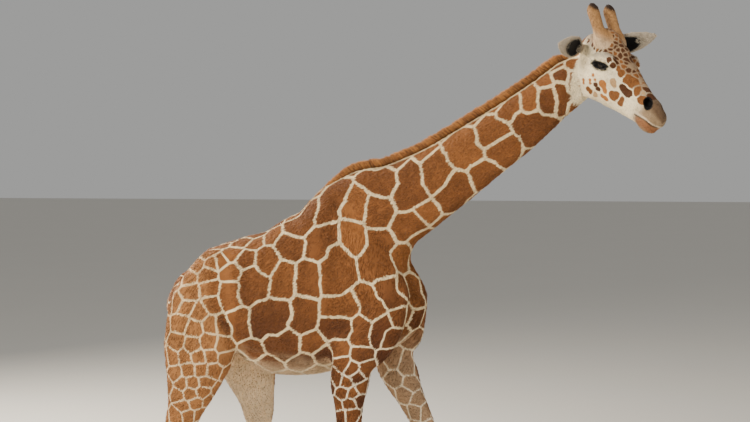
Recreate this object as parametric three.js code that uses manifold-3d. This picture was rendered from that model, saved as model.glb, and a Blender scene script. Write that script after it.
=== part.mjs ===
// A still, life-size model of a young reticulated giraffe that walks, with its head turned to its right.
// Millimetres. +X is forward, +Y is the animal's left, +Z is up, and the hooves stand on z = 0.

import * as THREE from 'three';
import { mergeVertices } from 'three/addons/utils/BufferGeometryUtils.js';
import Module from 'manifold-3d';

const wasm = await Module();
wasm.setup();
const { Manifold, Mesh } = wasm;

// ---------------------------------------------------------------- driving dimensions

const CUT = 0.5; // the thin cut that parts two neighbouring lengths of flesh
const SEAT = 0.3; // the gap round a piece that is let into the flesh
const LEG_TOP = 1362; // the level just under the belly where the legs are parted from the trunk
const LEG_SPREAD = 205; // from the mid-plane to the middle of a leg, at the top
const FOOT_SPREAD = 182; // and at the hoof
const RIGHT = -1;
const LEFT = 1;

// A station is a section of a limb: where its middle is, half its width from side to side,
// and how far it reaches above (or ahead of) the middle and below (or behind) it.
const station = (x, y, z, wide, up, down = up) => ({ at: new THREE.Vector3(x, y, z), wide, up, down });
const POINT = [1, 1, 1]; // the half sizes of the closed end of a limb

const TRUNK = {
  tailHead: station(-1432, 0, 1925, 1, 1),
  rump: station(-1360, 0, 1875, 158, 108, 200),
  croup: station(-1215, 0, 1865, 256, 284, 200),
  loin: station(-1050, 0, 1845, 298, 364, 305),
  belly: station(-860, 0, 1830, 318, 428, 438),
  ribs: station(-660, 0, 1840, 312, 512, 458),
  girth: station(-470, 0, 1850, 282, 628, 432),
  shoulders: station(-270, 0, 1860, 236, 560, 390),
  breast: station(-80, 0, 1815, 168, 270, 276),
  brisket: station(84, 0, 1780, 1, 1),
};

const NECK = {
  root: station(-520, 0, 2130, 60, 120, 160),
  withers: station(-350, -4, 2270, 135, 285, 240),
  base: station(-215, -22, 2345, 158, 285, 275),
  low: station(-58, -55, 2424, 148, 238, 244),
  lowerMiddle: station(178, -118, 2566, 124, 196, 206),
  upperMiddle: station(403, -187, 2722, 108, 173, 184),
  high: station(614, -258, 2868, 97, 155, 164),
  throat: station(815, -330, 3028, 88, 131, 142),
  nape: station(925, -372, 3112, 84, 126, 134),
  poll: station(1010, -398, 3180, 72, 92, 110),
  atlas: station(1080, -420, 3230, 1, 1),
};

// Where the flesh is parted: across the root of the neck, and behind the ears and the jaw.
const NECK_ROOT = { point: new THREE.Vector3(-240, 0, 2350), normal: new THREE.Vector3(0.62, 0, 0.79) };
const POLL = { point: new THREE.Vector3(950, -385, 3150), normal: new THREE.Vector3(0.88, -0.38, 0.28) };

// The head has a frame of its own: x runs along the face from the poll, z is up through the brow.
const HEAD_AT = new THREE.Vector3(1033, -400, 3277);
const HEAD_TURN = -48; // degrees to the animal's right
const HEAD_NOD = 27.5; // degrees down
const HEAD_TILT = -2; // degrees, the left side a little low
const HEAD = {
  occiput: station(-82, 0, -10, 1, 1),
  crown: station(0, 0, -10, 84, 116, 130),
  temple: station(95, 0, -10, 99, 116, 195),
  brow: station(205, 0, -14, 107, 112, 214),
  face: station(310, 0, -42, 93, 113, 182),
  bridge: station(405, 0, -70, 75, 105, 134),
  nose: station(505, 0, -92, 63, 95, 98),
  muzzle: station(594, 0, -104, 61, 82, 80),
  lip: station(648, 0, -106, 55, 60, 58),
  tip: station(688, 0, -106, 1, 1),
};
const EYE = { at: [206, 87, 6], radius: 27 };
const BROW = { at: [216, 86, 38], size: [86, 36, 42] };
const FOREHEAD = { at: [165, 0, 84], size: [118, 60, 52] };
const HORN_RIDGE = { at: [94, 0, 112], size: [84, 54, 54] };
const JAW = { at: [95, 48, -150], size: [102, 38, 80] };
const CHIN = { at: [592, 0, -170], size: [60, 38, 28] };
const OSSICONE = {
  root: station(168, 46, 30, 24, 24),
  base: station(118, 54, 88, 40, 52),
  shaft: station(42, 59, 154, 27, 31),
  knob: station(-36, 60, 214, 30, 31),
  crown: station(-59, 61, 233, 20, 21),
  end: station(-70, 62, 241, 1, 1),
};
const EAR = {
  root: station(12, 68, 8, 18, 16),
  stalk: station(28, 106, 16, 32, 24),
  bowl: station(56, 164, 28, 66, 18),
  blade: station(88, 232, 42, 60, 12),
  narrow: station(116, 292, 54, 33, 8),
  tip: station(130, 325, 60, 1, 1),
};
const EAR_SCOOP = {
  root: station(54, 100, 18, 1, 1),
  bowl: station(74, 158, 28, 50, 18),
  blade: station(106, 224, 42, 45, 13),
  tip: station(134, 292, 54, 1, 1),
};
// How far each ear is raised about the line of the face and swung forward, in degrees, then moved
// out from the skull and up.
const EAR_POSE = {
  right: { lift: 0, swing: -7, out: 0, up: -4 },
  left: { lift: 30, swing: 12, out: 28, up: -24 },
};

// Shoulder and thigh masses of one side, as seen on the right. A leg that reaches forward
// carries the lower end of its mass with it.
const SHOULDER = {
  top: station(-500, 70, 2450, 1, 1),
  blade: station(-420, 130, 2300, 78, 112),
  spine: station(-275, 172, 2080, 92, 142),
  point: station(-140, 188, 1850, 95, 142),
  arm: station(-232, 205, 1660, 94, 170),
  elbow: station(-325, 205, 1500, 82, 130),
  forearm: station(-352, 205, 1340, 72, 100),
  foot: station(-356, 205, 1230, 1, 1),
};
const HAUNCH = {
  top: station(-1120, 100, 2120, 1, 1),
  hip: station(-1175, 145, 2020, 100, 115),
  thigh: station(-1232, 178, 1800, 122, 196),
  ham: station(-1240, 195, 1580, 120, 220),
  stifle: station(-1272, 203, 1410, 102, 182),
  gaskin: station(-1308, 205, 1270, 80, 126),
  foot: station(-1330, 205, 1160, 1, 1),
};

// How strongly the lower end of each mass follows a leg that reaches forward.
const SHOULDER_LEAN = 2.6;
const HAUNCH_LEAN = 1.35;

// Where each leg stands in the walk: x of its top, of its knee or hock, and of its fetlock,
// and how far forward of its pair the leg carries its shoulder or thigh.
const STANCE = {
  leg_fore_right: { side: RIGHT, fore: true, top: -350, joint: -362, fetlock: -384, reach: 0 },
  leg_fore_left: { side: LEFT, fore: true, top: -118, joint: 170, fetlock: 322, reach: 336 },
  leg_hind_right: { side: RIGHT, fore: false, top: -1290, joint: -1442, fetlock: -1492, reach: 0 },
  leg_hind_left: { side: LEFT, fore: false, top: -1000, joint: -948, fetlock: -848, reach: 345 },
};

// A leg's levels and its half sizes there: side to side, to the front and to the back.
const FORELEG = { top: 1400, joint: 790, upper: [70, 98, 98], middle: [56, 78, 78], taper: [46, 58, 58] };
const HINDLEG = { top: 1330, joint: 850, upper: [70, 120, 120], middle: [56, 103, 103], taper: [46, 62, 74] };
Object.assign(FORELEG, { jointTop: [50, 58, 62], jointLow: [47, 54, 54] });
Object.assign(HINDLEG, { jointTop: [50, 58, 80], jointLow: [47, 54, 72] });
const CANNON = { high: [36, 42, 46], middle: [33, 38, 42], low: [36, 41, 46] };
const CANNON_LEVEL = { middle: 420, low: 270 };
const FOREARM_LEVEL = 1130;
const FETLOCK = { level: 190, size: [49, 50, 56] };
const PASTERN = { level: 140, size: [46, 44, 48] };
const CORONET = { level: 82, size: [60, 54, 62] };
const FOOT_AHEAD = 42; // how far the coronet lies ahead of the fetlock

// A claw: sole length, toe and heel heights, how far the toe leans back, and the footprint's rounding.
const HOOF = { length: 168, height: 96, heel: 58, heelSlope: 6, width: 66, toeSlope: 60, cleft: 5, splay: 5 };
const FOOTPRINT = { middle: 0.48, halfLength: 0.52, halfWidth: 0.72, inset: 0.3 };
const CLAW_MIDDLE = 0.47; // the share of the sole behind the coronet's middle

const TAIL = {
  root: station(-1300, 0, 2000, 30, 34),
  dock: station(-1390, 4, 1950, 32, 32),
  bend: station(-1448, 16, 1830, 25, 25),
  middle: station(-1484, 38, 1600, 19, 19),
  low: station(-1486, 54, 1350, 15, 15),
  end: station(-1478, 62, 1140, 13, 13),
  tip: station(-1475, 63, 1075, 1, 1),
};
const TAIL_TUFT = {
  root: station(-1485, 62, 1150, 14, 14),
  swell: station(-1482, 64, 1040, 34, 36),
  body: station(-1474, 68, 900, 42, 46),
  thin: station(-1462, 72, 760, 24, 28),
  tip: station(-1456, 74, 690, 1, 1),
};
const MANE = { height: 44, root: 36, half: 16, from: 0.2, to: 0.86, steps: 12 };
const MANE_END = {
  end: station(-715, 0, 2300, 1, 1),
  low: station(-640, 0, 2372, 13, 16, 30),
  back: station(-560, 0, 2448, 16, 24, 34),
  withers: station(-470, 0, 2520, 17, 34, 36),
};

// ---------------------------------------------------------------- finishes

const finish = (color, roughness) => new THREE.MeshStandardMaterial({ color, roughness, metalness: 0 });
const COAT = () => finish(0x96552d, 0.8);
const MANE_HAIR = () => finish(0x7a4526, 0.9);
const DARK_HAIR = () => finish(0x1f1713, 0.9);
const HORN = () => finish(0x4a3a2e, 0.55);
const EYE_BALL = () => finish(0x0c0806, 0.08);

// ---------------------------------------------------------------- shape tools

/** The closed solid of a three.js geometry. */
function solidOf(geometry) {
  geometry.deleteAttribute('normal');
  geometry.deleteAttribute('uv');
  const merged = mergeVertices(geometry, 1e-4);
  const mesh = new Mesh({
    numProp: 3,
    vertProperties: new Float32Array(merged.attributes.position.array),
    triVerts: new Uint32Array(merged.index.array),
  });
  return new Manifold(mesh);
}

/** The smooth line and the smoothly changing section of a limb, read at any t from 0 to 1. */
function limbForm(stations, side) {
  const list = Object.values(stations);
  const line = new THREE.CatmullRomCurve3(list.map((s) => s.at));
  const squares = list.map((s) => new THREE.Vector3(s.wide ** 2, s.up ** 2, s.down ** 2));
  const section = new THREE.CatmullRomCurve3(squares);
  return (t, margin = 0) => {
    const middle = line.getPoint(t);
    const along = line.getTangent(t);
    const across = side.clone().addScaledVector(along, -side.dot(along)).normalize();
    const upward = new THREE.Vector3().crossVectors(along, across);
    const [wide, up, down] = section.getPoint(t).toArray().map((v) => Math.sqrt(Math.max(v, 1)) + margin);
    return { middle, across, upward, wide, up, down };
  };
}

/** A limb: a ball drawn out along a line of stations, closed and round at both ends. */
function limb(stations, { sides = 16, rings = 16, margin = 0, side = new THREE.Vector3(0, 1, 0) } = {}) {
  const form = limbForm(stations, side);
  const ball = new THREE.SphereGeometry(1, sides, rings);
  const place = ball.attributes.position;
  for (let i = 0; i < place.count; i += 1) {
    const t = Math.acos(THREE.MathUtils.clamp(place.getY(i), -1, 1)) / Math.PI;
    const turn = Math.atan2(place.getZ(i), place.getX(i));
    const atPole = t < 1e-4 || t > 1 - 1e-4;
    const { middle, across, upward, wide, up, down } = form(t, margin);
    const reach = Math.sin(turn) > 0 ? up : down;
    if (!atPole) {
      middle.addScaledVector(across, wide * Math.cos(turn));
      middle.addScaledVector(upward, reach * Math.sin(turn));
    }
    place.setXYZ(i, middle.x, middle.y, middle.z);
  }
  return solidOf(ball);
}

/** An egg-shaped mass with its three half sizes. */
function mass({ at, size }, sides = 10) {
  const ball = new THREE.SphereGeometry(1, sides, Math.round(sides * 0.6));
  ball.scale(...size).translate(...at);
  return solidOf(ball);
}

/** The same stations on the other side of the mid-plane, or moved. */
function moved(stations, side, shift = () => 0) {
  const copies = Object.entries(stations).map(([name, s]) => {
    const x = s.at.x + shift(s.at.z);
    return [name, { ...s, at: new THREE.Vector3(x, s.at.y * side, s.at.z) }];
  });
  return Object.fromEntries(copies);
}

const joined = (solids) => Manifold.union(solids);

/** Both sides of a plane, each set back by half of the thin cut. */
function parted(solid, normal, point) {
  const n = normal.clone().normalize();
  const offset = n.dot(point);
  const ahead = solid.trimByPlane(n.toArray(), offset + CUT / 2);
  const behind = solid.trimByPlane(n.clone().negate().toArray(), -(offset - CUT / 2));
  return [ahead, behind];
}

/** The largest connected body of a solid, without crumbs that a cut may leave. */
function mainBody(solid) {
  return solid.decompose().sort((a, b) => b.volume() - a.volume())[0];
}

// ---------------------------------------------------------------- body

function shoulder(side, reach) {
  const top = SHOULDER.top.at.z;
  const drop = top - SHOULDER.foot.at.z;
  const lean = (z) => reach * ((top - z) / drop) ** SHOULDER_LEAN;
  return limb(moved(SHOULDER, side, lean), { sides: 12, rings: 14 });
}

function haunch(side, reach) {
  const top = HAUNCH.top.at.z;
  const drop = top - HAUNCH.foot.at.z;
  const lean = (z) => reach * ((top - z) / drop) ** HAUNCH_LEAN;
  return limb(moved(HAUNCH, side, lean), { sides: 12, rings: 12 });
}

/** One leg from inside the trunk to the coronet. */
function leg({ side, fore, top, joint, fetlock }) {
  const form = fore ? FORELEG : HINDLEG;
  const out = (z) => side * (FOOT_SPREAD + ((LEG_SPREAD - FOOT_SPREAD) * z) / form.top);
  const upper = (z) => joint + ((top - joint) * (z - form.joint)) / (form.top - form.joint);
  const lower = (z) => fetlock + ((joint - fetlock) * (z - FETLOCK.level)) / (form.joint - FETLOCK.level);
  const at = (x, z, half) => station(x, out(z), z, ...half);
  const above = (z, half) => at(upper(z), z, half);
  const below = (z, half) => at(lower(z), z, half);
  const stations = {
    root: at(top, form.top + 60, POINT),
    upper: at(top, form.top, form.upper),
    middle: above(FOREARM_LEVEL, form.middle),
    taper: above(form.joint + 140, form.taper),
    jointTop: above(form.joint + 50, form.jointTop),
    jointLow: below(form.joint - 50, form.jointLow),
    cannonHigh: below(form.joint - 140, CANNON.high),
    cannon: below(CANNON_LEVEL.middle, CANNON.middle),
    cannonLow: below(CANNON_LEVEL.low, CANNON.low),
    fetlock: below(FETLOCK.level, FETLOCK.size),
    pastern: at(fetlock + FOOT_AHEAD * 0.55, PASTERN.level, PASTERN.size),
    coronet: at(fetlock + FOOT_AHEAD, CORONET.level, CORONET.size),
    end: at(fetlock + FOOT_AHEAD, CORONET.level / 2, POINT),
  };
  return limb(stations, { sides: 10, rings: 22 });
}

/** One claw of a hoof with its sole on the floor; the coronet slopes back to the heel. */
function claw(foot, inner) {
  const { length, height, heel, heelSlope, width, toeSlope, cleft, splay } = HOOF;
  const profile = new THREE.Shape();
  profile.moveTo(0, 0);
  profile.lineTo(length, 0);
  profile.quadraticCurveTo(length - toeSlope * 0.4, height * 0.5, length - toeSlope, height);
  profile.lineTo(-heelSlope, heel);
  const block = new THREE.ExtrudeGeometry(profile, { depth: width, bevelEnabled: false, curveSegments: 3 });
  block.rotateX(Math.PI / 2);
  const wall = new THREE.CylinderGeometry(1, 1, height * 2, 20);
  wall.rotateX(Math.PI / 2);
  wall.scale(length * FOOTPRINT.halfLength, width * FOOTPRINT.halfWidth, 1);
  wall.translate(length * FOOTPRINT.middle, -width * FOOTPRINT.inset, height * 0.9);
  const shape = solidOf(block).intersect(solidOf(wall));
  const turned = shape.translate([0, -cleft / 2, 0]).rotate([0, 0, -splay]);
  const sided = inner ? turned : turned.mirror([0, 1, 0]);
  return sided.translate([foot.x - length * CLAW_MIDDLE, foot.y, 0]);
}

/** The plane of the coronet, between the flesh above and the horn below. */
function coronetPlane(foot) {
  const { length, height, heel, heelSlope, toeSlope } = HOOF;
  const heelX = foot.x - length * CLAW_MIDDLE;
  const back = new THREE.Vector3(heelX - heelSlope, 0, heel);
  const front = new THREE.Vector3(heelX + length - toeSlope, 0, height);
  const slope = front.clone().sub(back);
  return { point: back, normal: new THREE.Vector3(-slope.z, 0, slope.x) };
}

// ---------------------------------------------------------------- head

const headMatrix = new THREE.Matrix4().compose(
  HEAD_AT,
  new THREE.Quaternion().setFromEuler(
    new THREE.Euler(...[HEAD_TILT, HEAD_NOD, HEAD_TURN].map(THREE.MathUtils.degToRad), 'ZYX'),
  ),
  new THREE.Vector3(1, 1, 1),
);
const onHead = (solid) => solid.transform(headMatrix.elements);
const UPWARD = new THREE.Vector3(0, 0, 1);

function ear(margin = 0) {
  const leaf = limb(EAR, { sides: 10, rings: 10, side: UPWARD, margin });
  if (margin > 0) return leaf;
  return leaf.subtract(limb(EAR_SCOOP, { sides: 8, rings: 8, side: UPWARD }));
}

const earOf = (name, margin) => {
  const { lift, swing, out, up } = EAR_POSE[name];
  return ear(margin).rotate([lift, 0, -swing]).translate([0, out, up]);
};

const ossicone = (margin = 0) => limb(OSSICONE, { sides: 10, rings: 10, margin });

function eye(margin = 0) {
  const ball = new THREE.SphereGeometry(EYE.radius + margin, 10, 7);
  return solidOf(ball.translate(...EYE.at));
}

/** Skull, jaw and muzzle in one, in the head's own frame. */
function headFlesh() {
  const paired = [mass(BROW), mass(JAW)];
  const other = paired.map((m) => m.mirror([0, 1, 0]));
  const skull = limb(HEAD, { sides: 16, rings: 15 });
  return joined([skull, ...paired, ...other, mass(FOREHEAD), mass(HORN_RIDGE), mass(CHIN)]);
}

// ---------------------------------------------------------------- mane

/** The upright mane on the crest of the neck, let into the flesh by its root. */
function mane(margin = 0) {
  const { height, root, half, from, to, steps } = MANE;
  const neck = limbForm(NECK, new THREE.Vector3(0, 1, 0));
  const stations = { ...MANE_END };
  for (let i = 0; i <= steps; i += 1) {
    const { middle, upward, up } = neck(from + ((to - from) * i) / steps);
    const last = i === steps;
    const crest = middle.addScaledVector(upward, last ? up - root : up);
    stations[`hair${i}`] = { at: crest, wide: last ? 1 : half, up: last ? 1 : height, down: last ? 1 : root };
  }
  return limb(stations, { sides: 6, rings: 18, margin });
}

// ---------------------------------------------------------------- putting it together

const group = new THREE.Group();

function add(name, solid, material) {
  const { vertProperties, triVerts } = mainBody(solid).getMesh();
  const geometry = new THREE.BufferGeometry();
  geometry.setAttribute('position', new THREE.BufferAttribute(new Float32Array(vertProperties), 3));
  geometry.setIndex(new THREE.BufferAttribute(new Uint32Array(triVerts), 1));
  geometry.computeVertexNormals();
  const mesh = new THREE.Mesh(geometry, material);
  mesh.name = name;
  group.add(mesh);
}

const sidesOf = { right: RIGHT, left: LEFT };
const onSide = (solid, side) => (side === RIGHT ? solid.mirror([0, 1, 0]) : solid);

// Whole flesh first: every mass joined, then let-in pieces cut out with their seats.
const legs = Object.values(STANCE).map(leg);
const shoulders = [shoulder(RIGHT, STANCE.leg_fore_right.reach), shoulder(LEFT, STANCE.leg_fore_left.reach)];
const haunches = [haunch(RIGHT, STANCE.leg_hind_right.reach), haunch(LEFT, STANCE.leg_hind_left.reach)];
const trunkMass = limb(TRUNK, { sides: 20, rings: 18 });
const neckMass = limb(NECK, { sides: 16, rings: 15 });
const seats = [mane(SEAT), limb(TAIL, { sides: 8, rings: 14, margin: SEAT })];
const headSeats = [];
for (const [name, side] of Object.entries(sidesOf)) {
  for (const piece of [earOf(name, SEAT), ossicone(SEAT), eye(SEAT)]) {
    headSeats.push(onHead(onSide(piece, side)));
  }
}
const flesh = joined([trunkMass, neckMass, onHead(headFlesh()), ...legs, ...shoulders, ...haunches]);
const whole = flesh.subtract(joined([...seats, ...headSeats]));

// Thin cuts part the flesh into the lengths that a person would name.
const [front, rear] = parted(whole, NECK_ROOT.normal, NECK_ROOT.point);
const [head, neck] = parted(mainBody(front), POLL.normal, POLL.point);
const [trunk, underBelly] = parted(rear, UPWARD, new THREE.Vector3(0, 0, LEG_TOP));

add('head', head, COAT());
add('neck', neck, COAT());
add('trunk', trunk, COAT());
for (const [name, side] of Object.entries(sidesOf)) {
  add(`ear_${name}`, onHead(onSide(earOf(name), side)), COAT());
  add(`ossicone_${name}`, onHead(onSide(ossicone(), side)), COAT());
  add(`eye_${name}`, onHead(onSide(eye(), side)), EYE_BALL());
}
add('mane', mane(), MANE_HAIR());

const tailEnd = new THREE.Vector3(0, 0, TAIL.end.at.z);
const [tail] = parted(limb(TAIL, { sides: 8, rings: 14 }), UPWARD, tailEnd);
add('tail', tail, COAT());
const [, tuft] = parted(limb(TAIL_TUFT, { sides: 8, rings: 10 }), UPWARD, tailEnd);
add('tail_tuft', tuft, DARK_HAIR());

// Legs under the belly, each with a hoof of two claws.
const lowerLegs = underBelly.decompose();
for (const [name, { side, fetlock }] of Object.entries(STANCE)) {
  const foot = new THREE.Vector3(fetlock + FOOT_AHEAD, FOOT_SPREAD * side, 0);
  const { normal, point } = coronetPlane(foot);
  const own = lowerLegs.find((body) => {
    const { min, max } = body.boundingBox();
    const around = min[0] < fetlock && max[0] > fetlock && min[1] < foot.y && max[1] > foot.y;
    return around && min[2] < PASTERN.level;
  });
  const [limbAbove] = parted(own, normal, point);
  add(name, limbAbove, COAT());
  for (const [place, inner] of Object.entries({ inner: side === LEFT, outer: side === RIGHT })) {
    const [, horn] = parted(claw(foot, inner), normal, point);
    add(`hoof_${name.slice(4)}_${place}`, horn, HORN());
  }
}

// The model stands with the middle of its footprint box over the origin.
const box = new THREE.Box3().setFromObject(group);
const middle = box.getCenter(new THREE.Vector3());
group.position.set(-middle.x, -middle.y, -box.min.z);

export default group;
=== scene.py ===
"""A life-size museum model of a reticulated giraffe, dressed over its fixed frame.

Stations and other driving sizes are millimetres in the design's own frame, as in the part's
source: x runs forward, y to the animal's left, z up. Meshes are metres in the row's frame.
"""
import logging
import math
from dataclasses import dataclass, field
from enum import Enum
from functools import reduce

import bmesh
import bpy
import numpy as np
import openvdb
from mathutils import Matrix, Vector
from mathutils.bvhtree import BVHTree
from mathutils.kdtree import KDTree


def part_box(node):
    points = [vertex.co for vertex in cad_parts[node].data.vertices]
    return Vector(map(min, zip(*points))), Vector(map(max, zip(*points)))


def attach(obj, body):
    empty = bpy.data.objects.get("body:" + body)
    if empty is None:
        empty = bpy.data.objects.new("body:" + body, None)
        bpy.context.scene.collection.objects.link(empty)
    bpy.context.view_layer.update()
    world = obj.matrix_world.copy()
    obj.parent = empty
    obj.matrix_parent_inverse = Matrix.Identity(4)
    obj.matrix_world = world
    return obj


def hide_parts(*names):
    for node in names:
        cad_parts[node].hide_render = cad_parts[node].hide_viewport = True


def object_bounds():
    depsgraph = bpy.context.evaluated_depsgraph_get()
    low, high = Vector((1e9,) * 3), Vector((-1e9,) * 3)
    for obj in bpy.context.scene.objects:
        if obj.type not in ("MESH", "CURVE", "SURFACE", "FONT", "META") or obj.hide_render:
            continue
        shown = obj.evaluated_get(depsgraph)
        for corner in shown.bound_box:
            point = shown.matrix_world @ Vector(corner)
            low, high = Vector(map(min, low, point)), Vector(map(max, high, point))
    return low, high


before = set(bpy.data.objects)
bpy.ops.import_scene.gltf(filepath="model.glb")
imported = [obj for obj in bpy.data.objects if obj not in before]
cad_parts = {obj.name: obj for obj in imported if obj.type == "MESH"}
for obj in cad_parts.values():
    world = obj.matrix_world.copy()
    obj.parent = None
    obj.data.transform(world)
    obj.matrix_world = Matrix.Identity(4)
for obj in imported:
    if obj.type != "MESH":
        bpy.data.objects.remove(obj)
CAD_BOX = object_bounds()
LOG = logging.getLogger("giraffe")
MM = 0.001
RIGHT = -1
LEFT = 1
FORE_AFT = np.array((1.0, 0.0, 0.0))
ACROSS = np.array((0.0, 1.0, 0.0))
UPWARD = np.array((0.0, 0.0, 1.0))
WHITE = 1.0
POLE_GAP = 0.02
SCREEN_TOP = 255.0
SCREEN_KNEE = 0.04045
SCREEN_FOOT = 12.92
SCREEN_LIFT = 0.055
SCREEN_POWER = 2.4
Range = tuple[float, float]
Profile = tuple[tuple[float, ...], tuple[float, ...]]


# ---------------------------------------------------------------- driving sizes


@dataclass(frozen=True)
class Station:
    """One named cross-section of a limb: its middle and its half sizes, in millimetres."""

    x: float
    y: float
    z: float
    wide: float
    up: float
    down: float = 0.0

    @property
    def middle(self) -> tuple[float, float, float]:
        """The middle of the section."""
        return (self.x, self.y, self.z)

    @property
    def squares(self) -> tuple[float, float, float]:
        """The squares of its half sizes, which run smoothly to nothing at a closed end."""
        return (self.wide**2, self.up**2, (self.down or self.up) ** 2)


Stations = dict[str, Station]

TRUNK: Stations = {
    "tail_head": Station(-1432, 0, 1925, 1, 1),
    "rump": Station(-1360, 0, 1875, 158, 108, 200),
    "croup": Station(-1215, 0, 1865, 256, 284, 200),
    "loin": Station(-1050, 0, 1845, 298, 364, 305),
    "belly": Station(-860, 0, 1830, 318, 428, 438),
    "ribs": Station(-660, 0, 1840, 312, 512, 458),
    "girth": Station(-470, 0, 1850, 282, 628, 432),
    "shoulders": Station(-270, 0, 1860, 236, 560, 390),
    "breast": Station(-80, 0, 1815, 168, 270, 276),
    "brisket": Station(84, 0, 1780, 1, 1),
}
NECK: Stations = {
    "root": Station(-520, 0, 2130, 60, 120, 160),
    "withers": Station(-350, -4, 2270, 135, 285, 240),
    "base": Station(-215, -22, 2345, 158, 285, 275),
    "low": Station(-58, -55, 2424, 148, 238, 244),
    "lower_middle": Station(178, -118, 2566, 124, 196, 206),
    "upper_middle": Station(403, -187, 2722, 108, 173, 184),
    "high": Station(614, -258, 2868, 97, 155, 164),
    "throat": Station(815, -330, 3028, 88, 131, 142),
    "nape": Station(925, -372, 3112, 84, 126, 134),
    "poll": Station(1010, -398, 3180, 72, 92, 110),
    "atlas": Station(1080, -420, 3230, 1, 1),
}
HEAD: Stations = {
    "occiput": Station(-82, 0, -10, 1, 1),
    "crown": Station(0, 0, -10, 84, 116, 130),
    "temple": Station(95, 0, -10, 99, 116, 195),
    "brow": Station(205, 0, -14, 107, 112, 214),
    "face": Station(310, 0, -42, 93, 113, 182),
    "bridge": Station(405, 0, -70, 75, 105, 134),
    "nose": Station(505, 0, -92, 63, 95, 98),
    "muzzle": Station(594, 0, -104, 61, 82, 80),
    "lip": Station(648, 0, -106, 55, 60, 58),
    "tip": Station(688, 0, -106, 1, 1),
}
OSSICONE: Stations = {
    "root": Station(168, 46, 30, 24, 24),
    "base": Station(118, 54, 88, 40, 52),
    "shaft": Station(42, 59, 154, 27, 31),
    "knob": Station(-36, 60, 214, 30, 31),
    "crown": Station(-59, 61, 233, 20, 21),
    "end": Station(-70, 62, 241, 1, 1),
}
EAR: Stations = {
    "root": Station(12, 68, 8, 18, 16),
    "stalk": Station(28, 106, 16, 32, 24),
    "bowl": Station(56, 164, 28, 66, 18),
    "blade": Station(88, 232, 42, 60, 12),
    "narrow": Station(116, 292, 54, 33, 8),
    "tip": Station(130, 325, 60, 1, 1),
}
EAR_SCOOP: Stations = {
    "root": Station(54, 100, 18, 1, 1),
    "bowl": Station(74, 158, 28, 50, 18),
    "blade": Station(106, 224, 42, 45, 13),
    "tip": Station(134, 292, 54, 1, 1),
}
SHOULDER: Stations = {
    "top": Station(-500, 70, 2450, 1, 1),
    "blade": Station(-420, 130, 2300, 78, 112),
    "spine": Station(-275, 172, 2080, 92, 142),
    "point": Station(-140, 188, 1850, 95, 142),
    "arm": Station(-232, 205, 1660, 94, 170),
    "elbow": Station(-325, 205, 1500, 82, 130),
    "forearm": Station(-352, 205, 1340, 72, 100),
    "foot": Station(-356, 205, 1230, 1, 1),
}
HAUNCH: Stations = {
    "top": Station(-1120, 100, 2120, 1, 1),
    "hip": Station(-1175, 145, 2020, 100, 115),
    "thigh": Station(-1232, 178, 1800, 122, 196),
    "ham": Station(-1240, 195, 1580, 120, 220),
    "stifle": Station(-1272, 203, 1410, 102, 182),
    "gaskin": Station(-1308, 205, 1270, 80, 126),
    "foot": Station(-1330, 205, 1160, 1, 1),
}
TAIL: Stations = {
    "root": Station(-1300, 0, 2000, 30, 34),
    "dock": Station(-1390, 4, 1950, 32, 32),
    "bend": Station(-1448, 16, 1830, 25, 25),
    "middle": Station(-1484, 38, 1600, 19, 19),
    "low": Station(-1486, 54, 1350, 15, 15),
    "end": Station(-1478, 62, 1140, 13, 13),
    "tip": Station(-1475, 63, 1075, 1, 1),
}
TAIL_TUFT: Stations = {
    "root": Station(-1485, 62, 1150, 14, 14),
    "swell": Station(-1482, 64, 1040, 34, 36),
    "body": Station(-1474, 68, 900, 42, 46),
    "thin": Station(-1462, 72, 760, 24, 28),
    "tip": Station(-1456, 74, 690, 1, 1),
}
MANE_END: Stations = {
    "end": Station(-715, 0, 2300, 1, 1),
    "low": Station(-640, 0, 2372, 13, 16, 30),
    "back": Station(-560, 0, 2448, 16, 24, 34),
    "withers": Station(-470, 0, 2520, 17, 34, 36),
}
# The line between the lips, from the right corner of the mouth round the front to the left one.
MOUTH: Stations = {
    "corner_right": Station(534, -60, -132, 1, 1),
    "cheek_right": Station(560, -60, -129, 6, 8),
    "side_right": Station(615, -56, -127, 7, 9),
    "front_right": Station(660, -30, -136, 7, 9),
    "front": Station(680, 0, -140, 7, 9),
    "front_left": Station(660, 30, -136, 7, 9),
    "side_left": Station(615, 56, -127, 7, 9),
    "cheek_left": Station(560, 60, -129, 6, 8),
    "corner_left": Station(534, 60, -132, 1, 1),
}


@dataclass(frozen=True)
class HeadPose:
    """Where the head's own frame stands: x along the face, y to its left, z up through the brow."""

    at: tuple[float, float, float] = (1033, -400, 3277)
    turn_deg: float = -48.0
    nod_deg: float = 27.5
    tilt_deg: float = -2.0


@dataclass(frozen=True)
class EarPose:
    """How far an ear is raised about the line of the face, swung forward and moved out and up."""

    lift_deg: float
    swing_deg: float
    out: float
    up: float


EAR_POSES = {RIGHT: EarPose(0, -7, 0, -4), LEFT: EarPose(30, 12, 28, -24)}


@dataclass(frozen=True)
class Mass:
    """An egg of flesh or bone on the head: its middle, half sizes and upward pitch there."""

    at: tuple[float, float, float]
    size: tuple[float, float, float]
    pitch_deg: float = 0.0
    yaw_deg: float = 0.0


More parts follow.
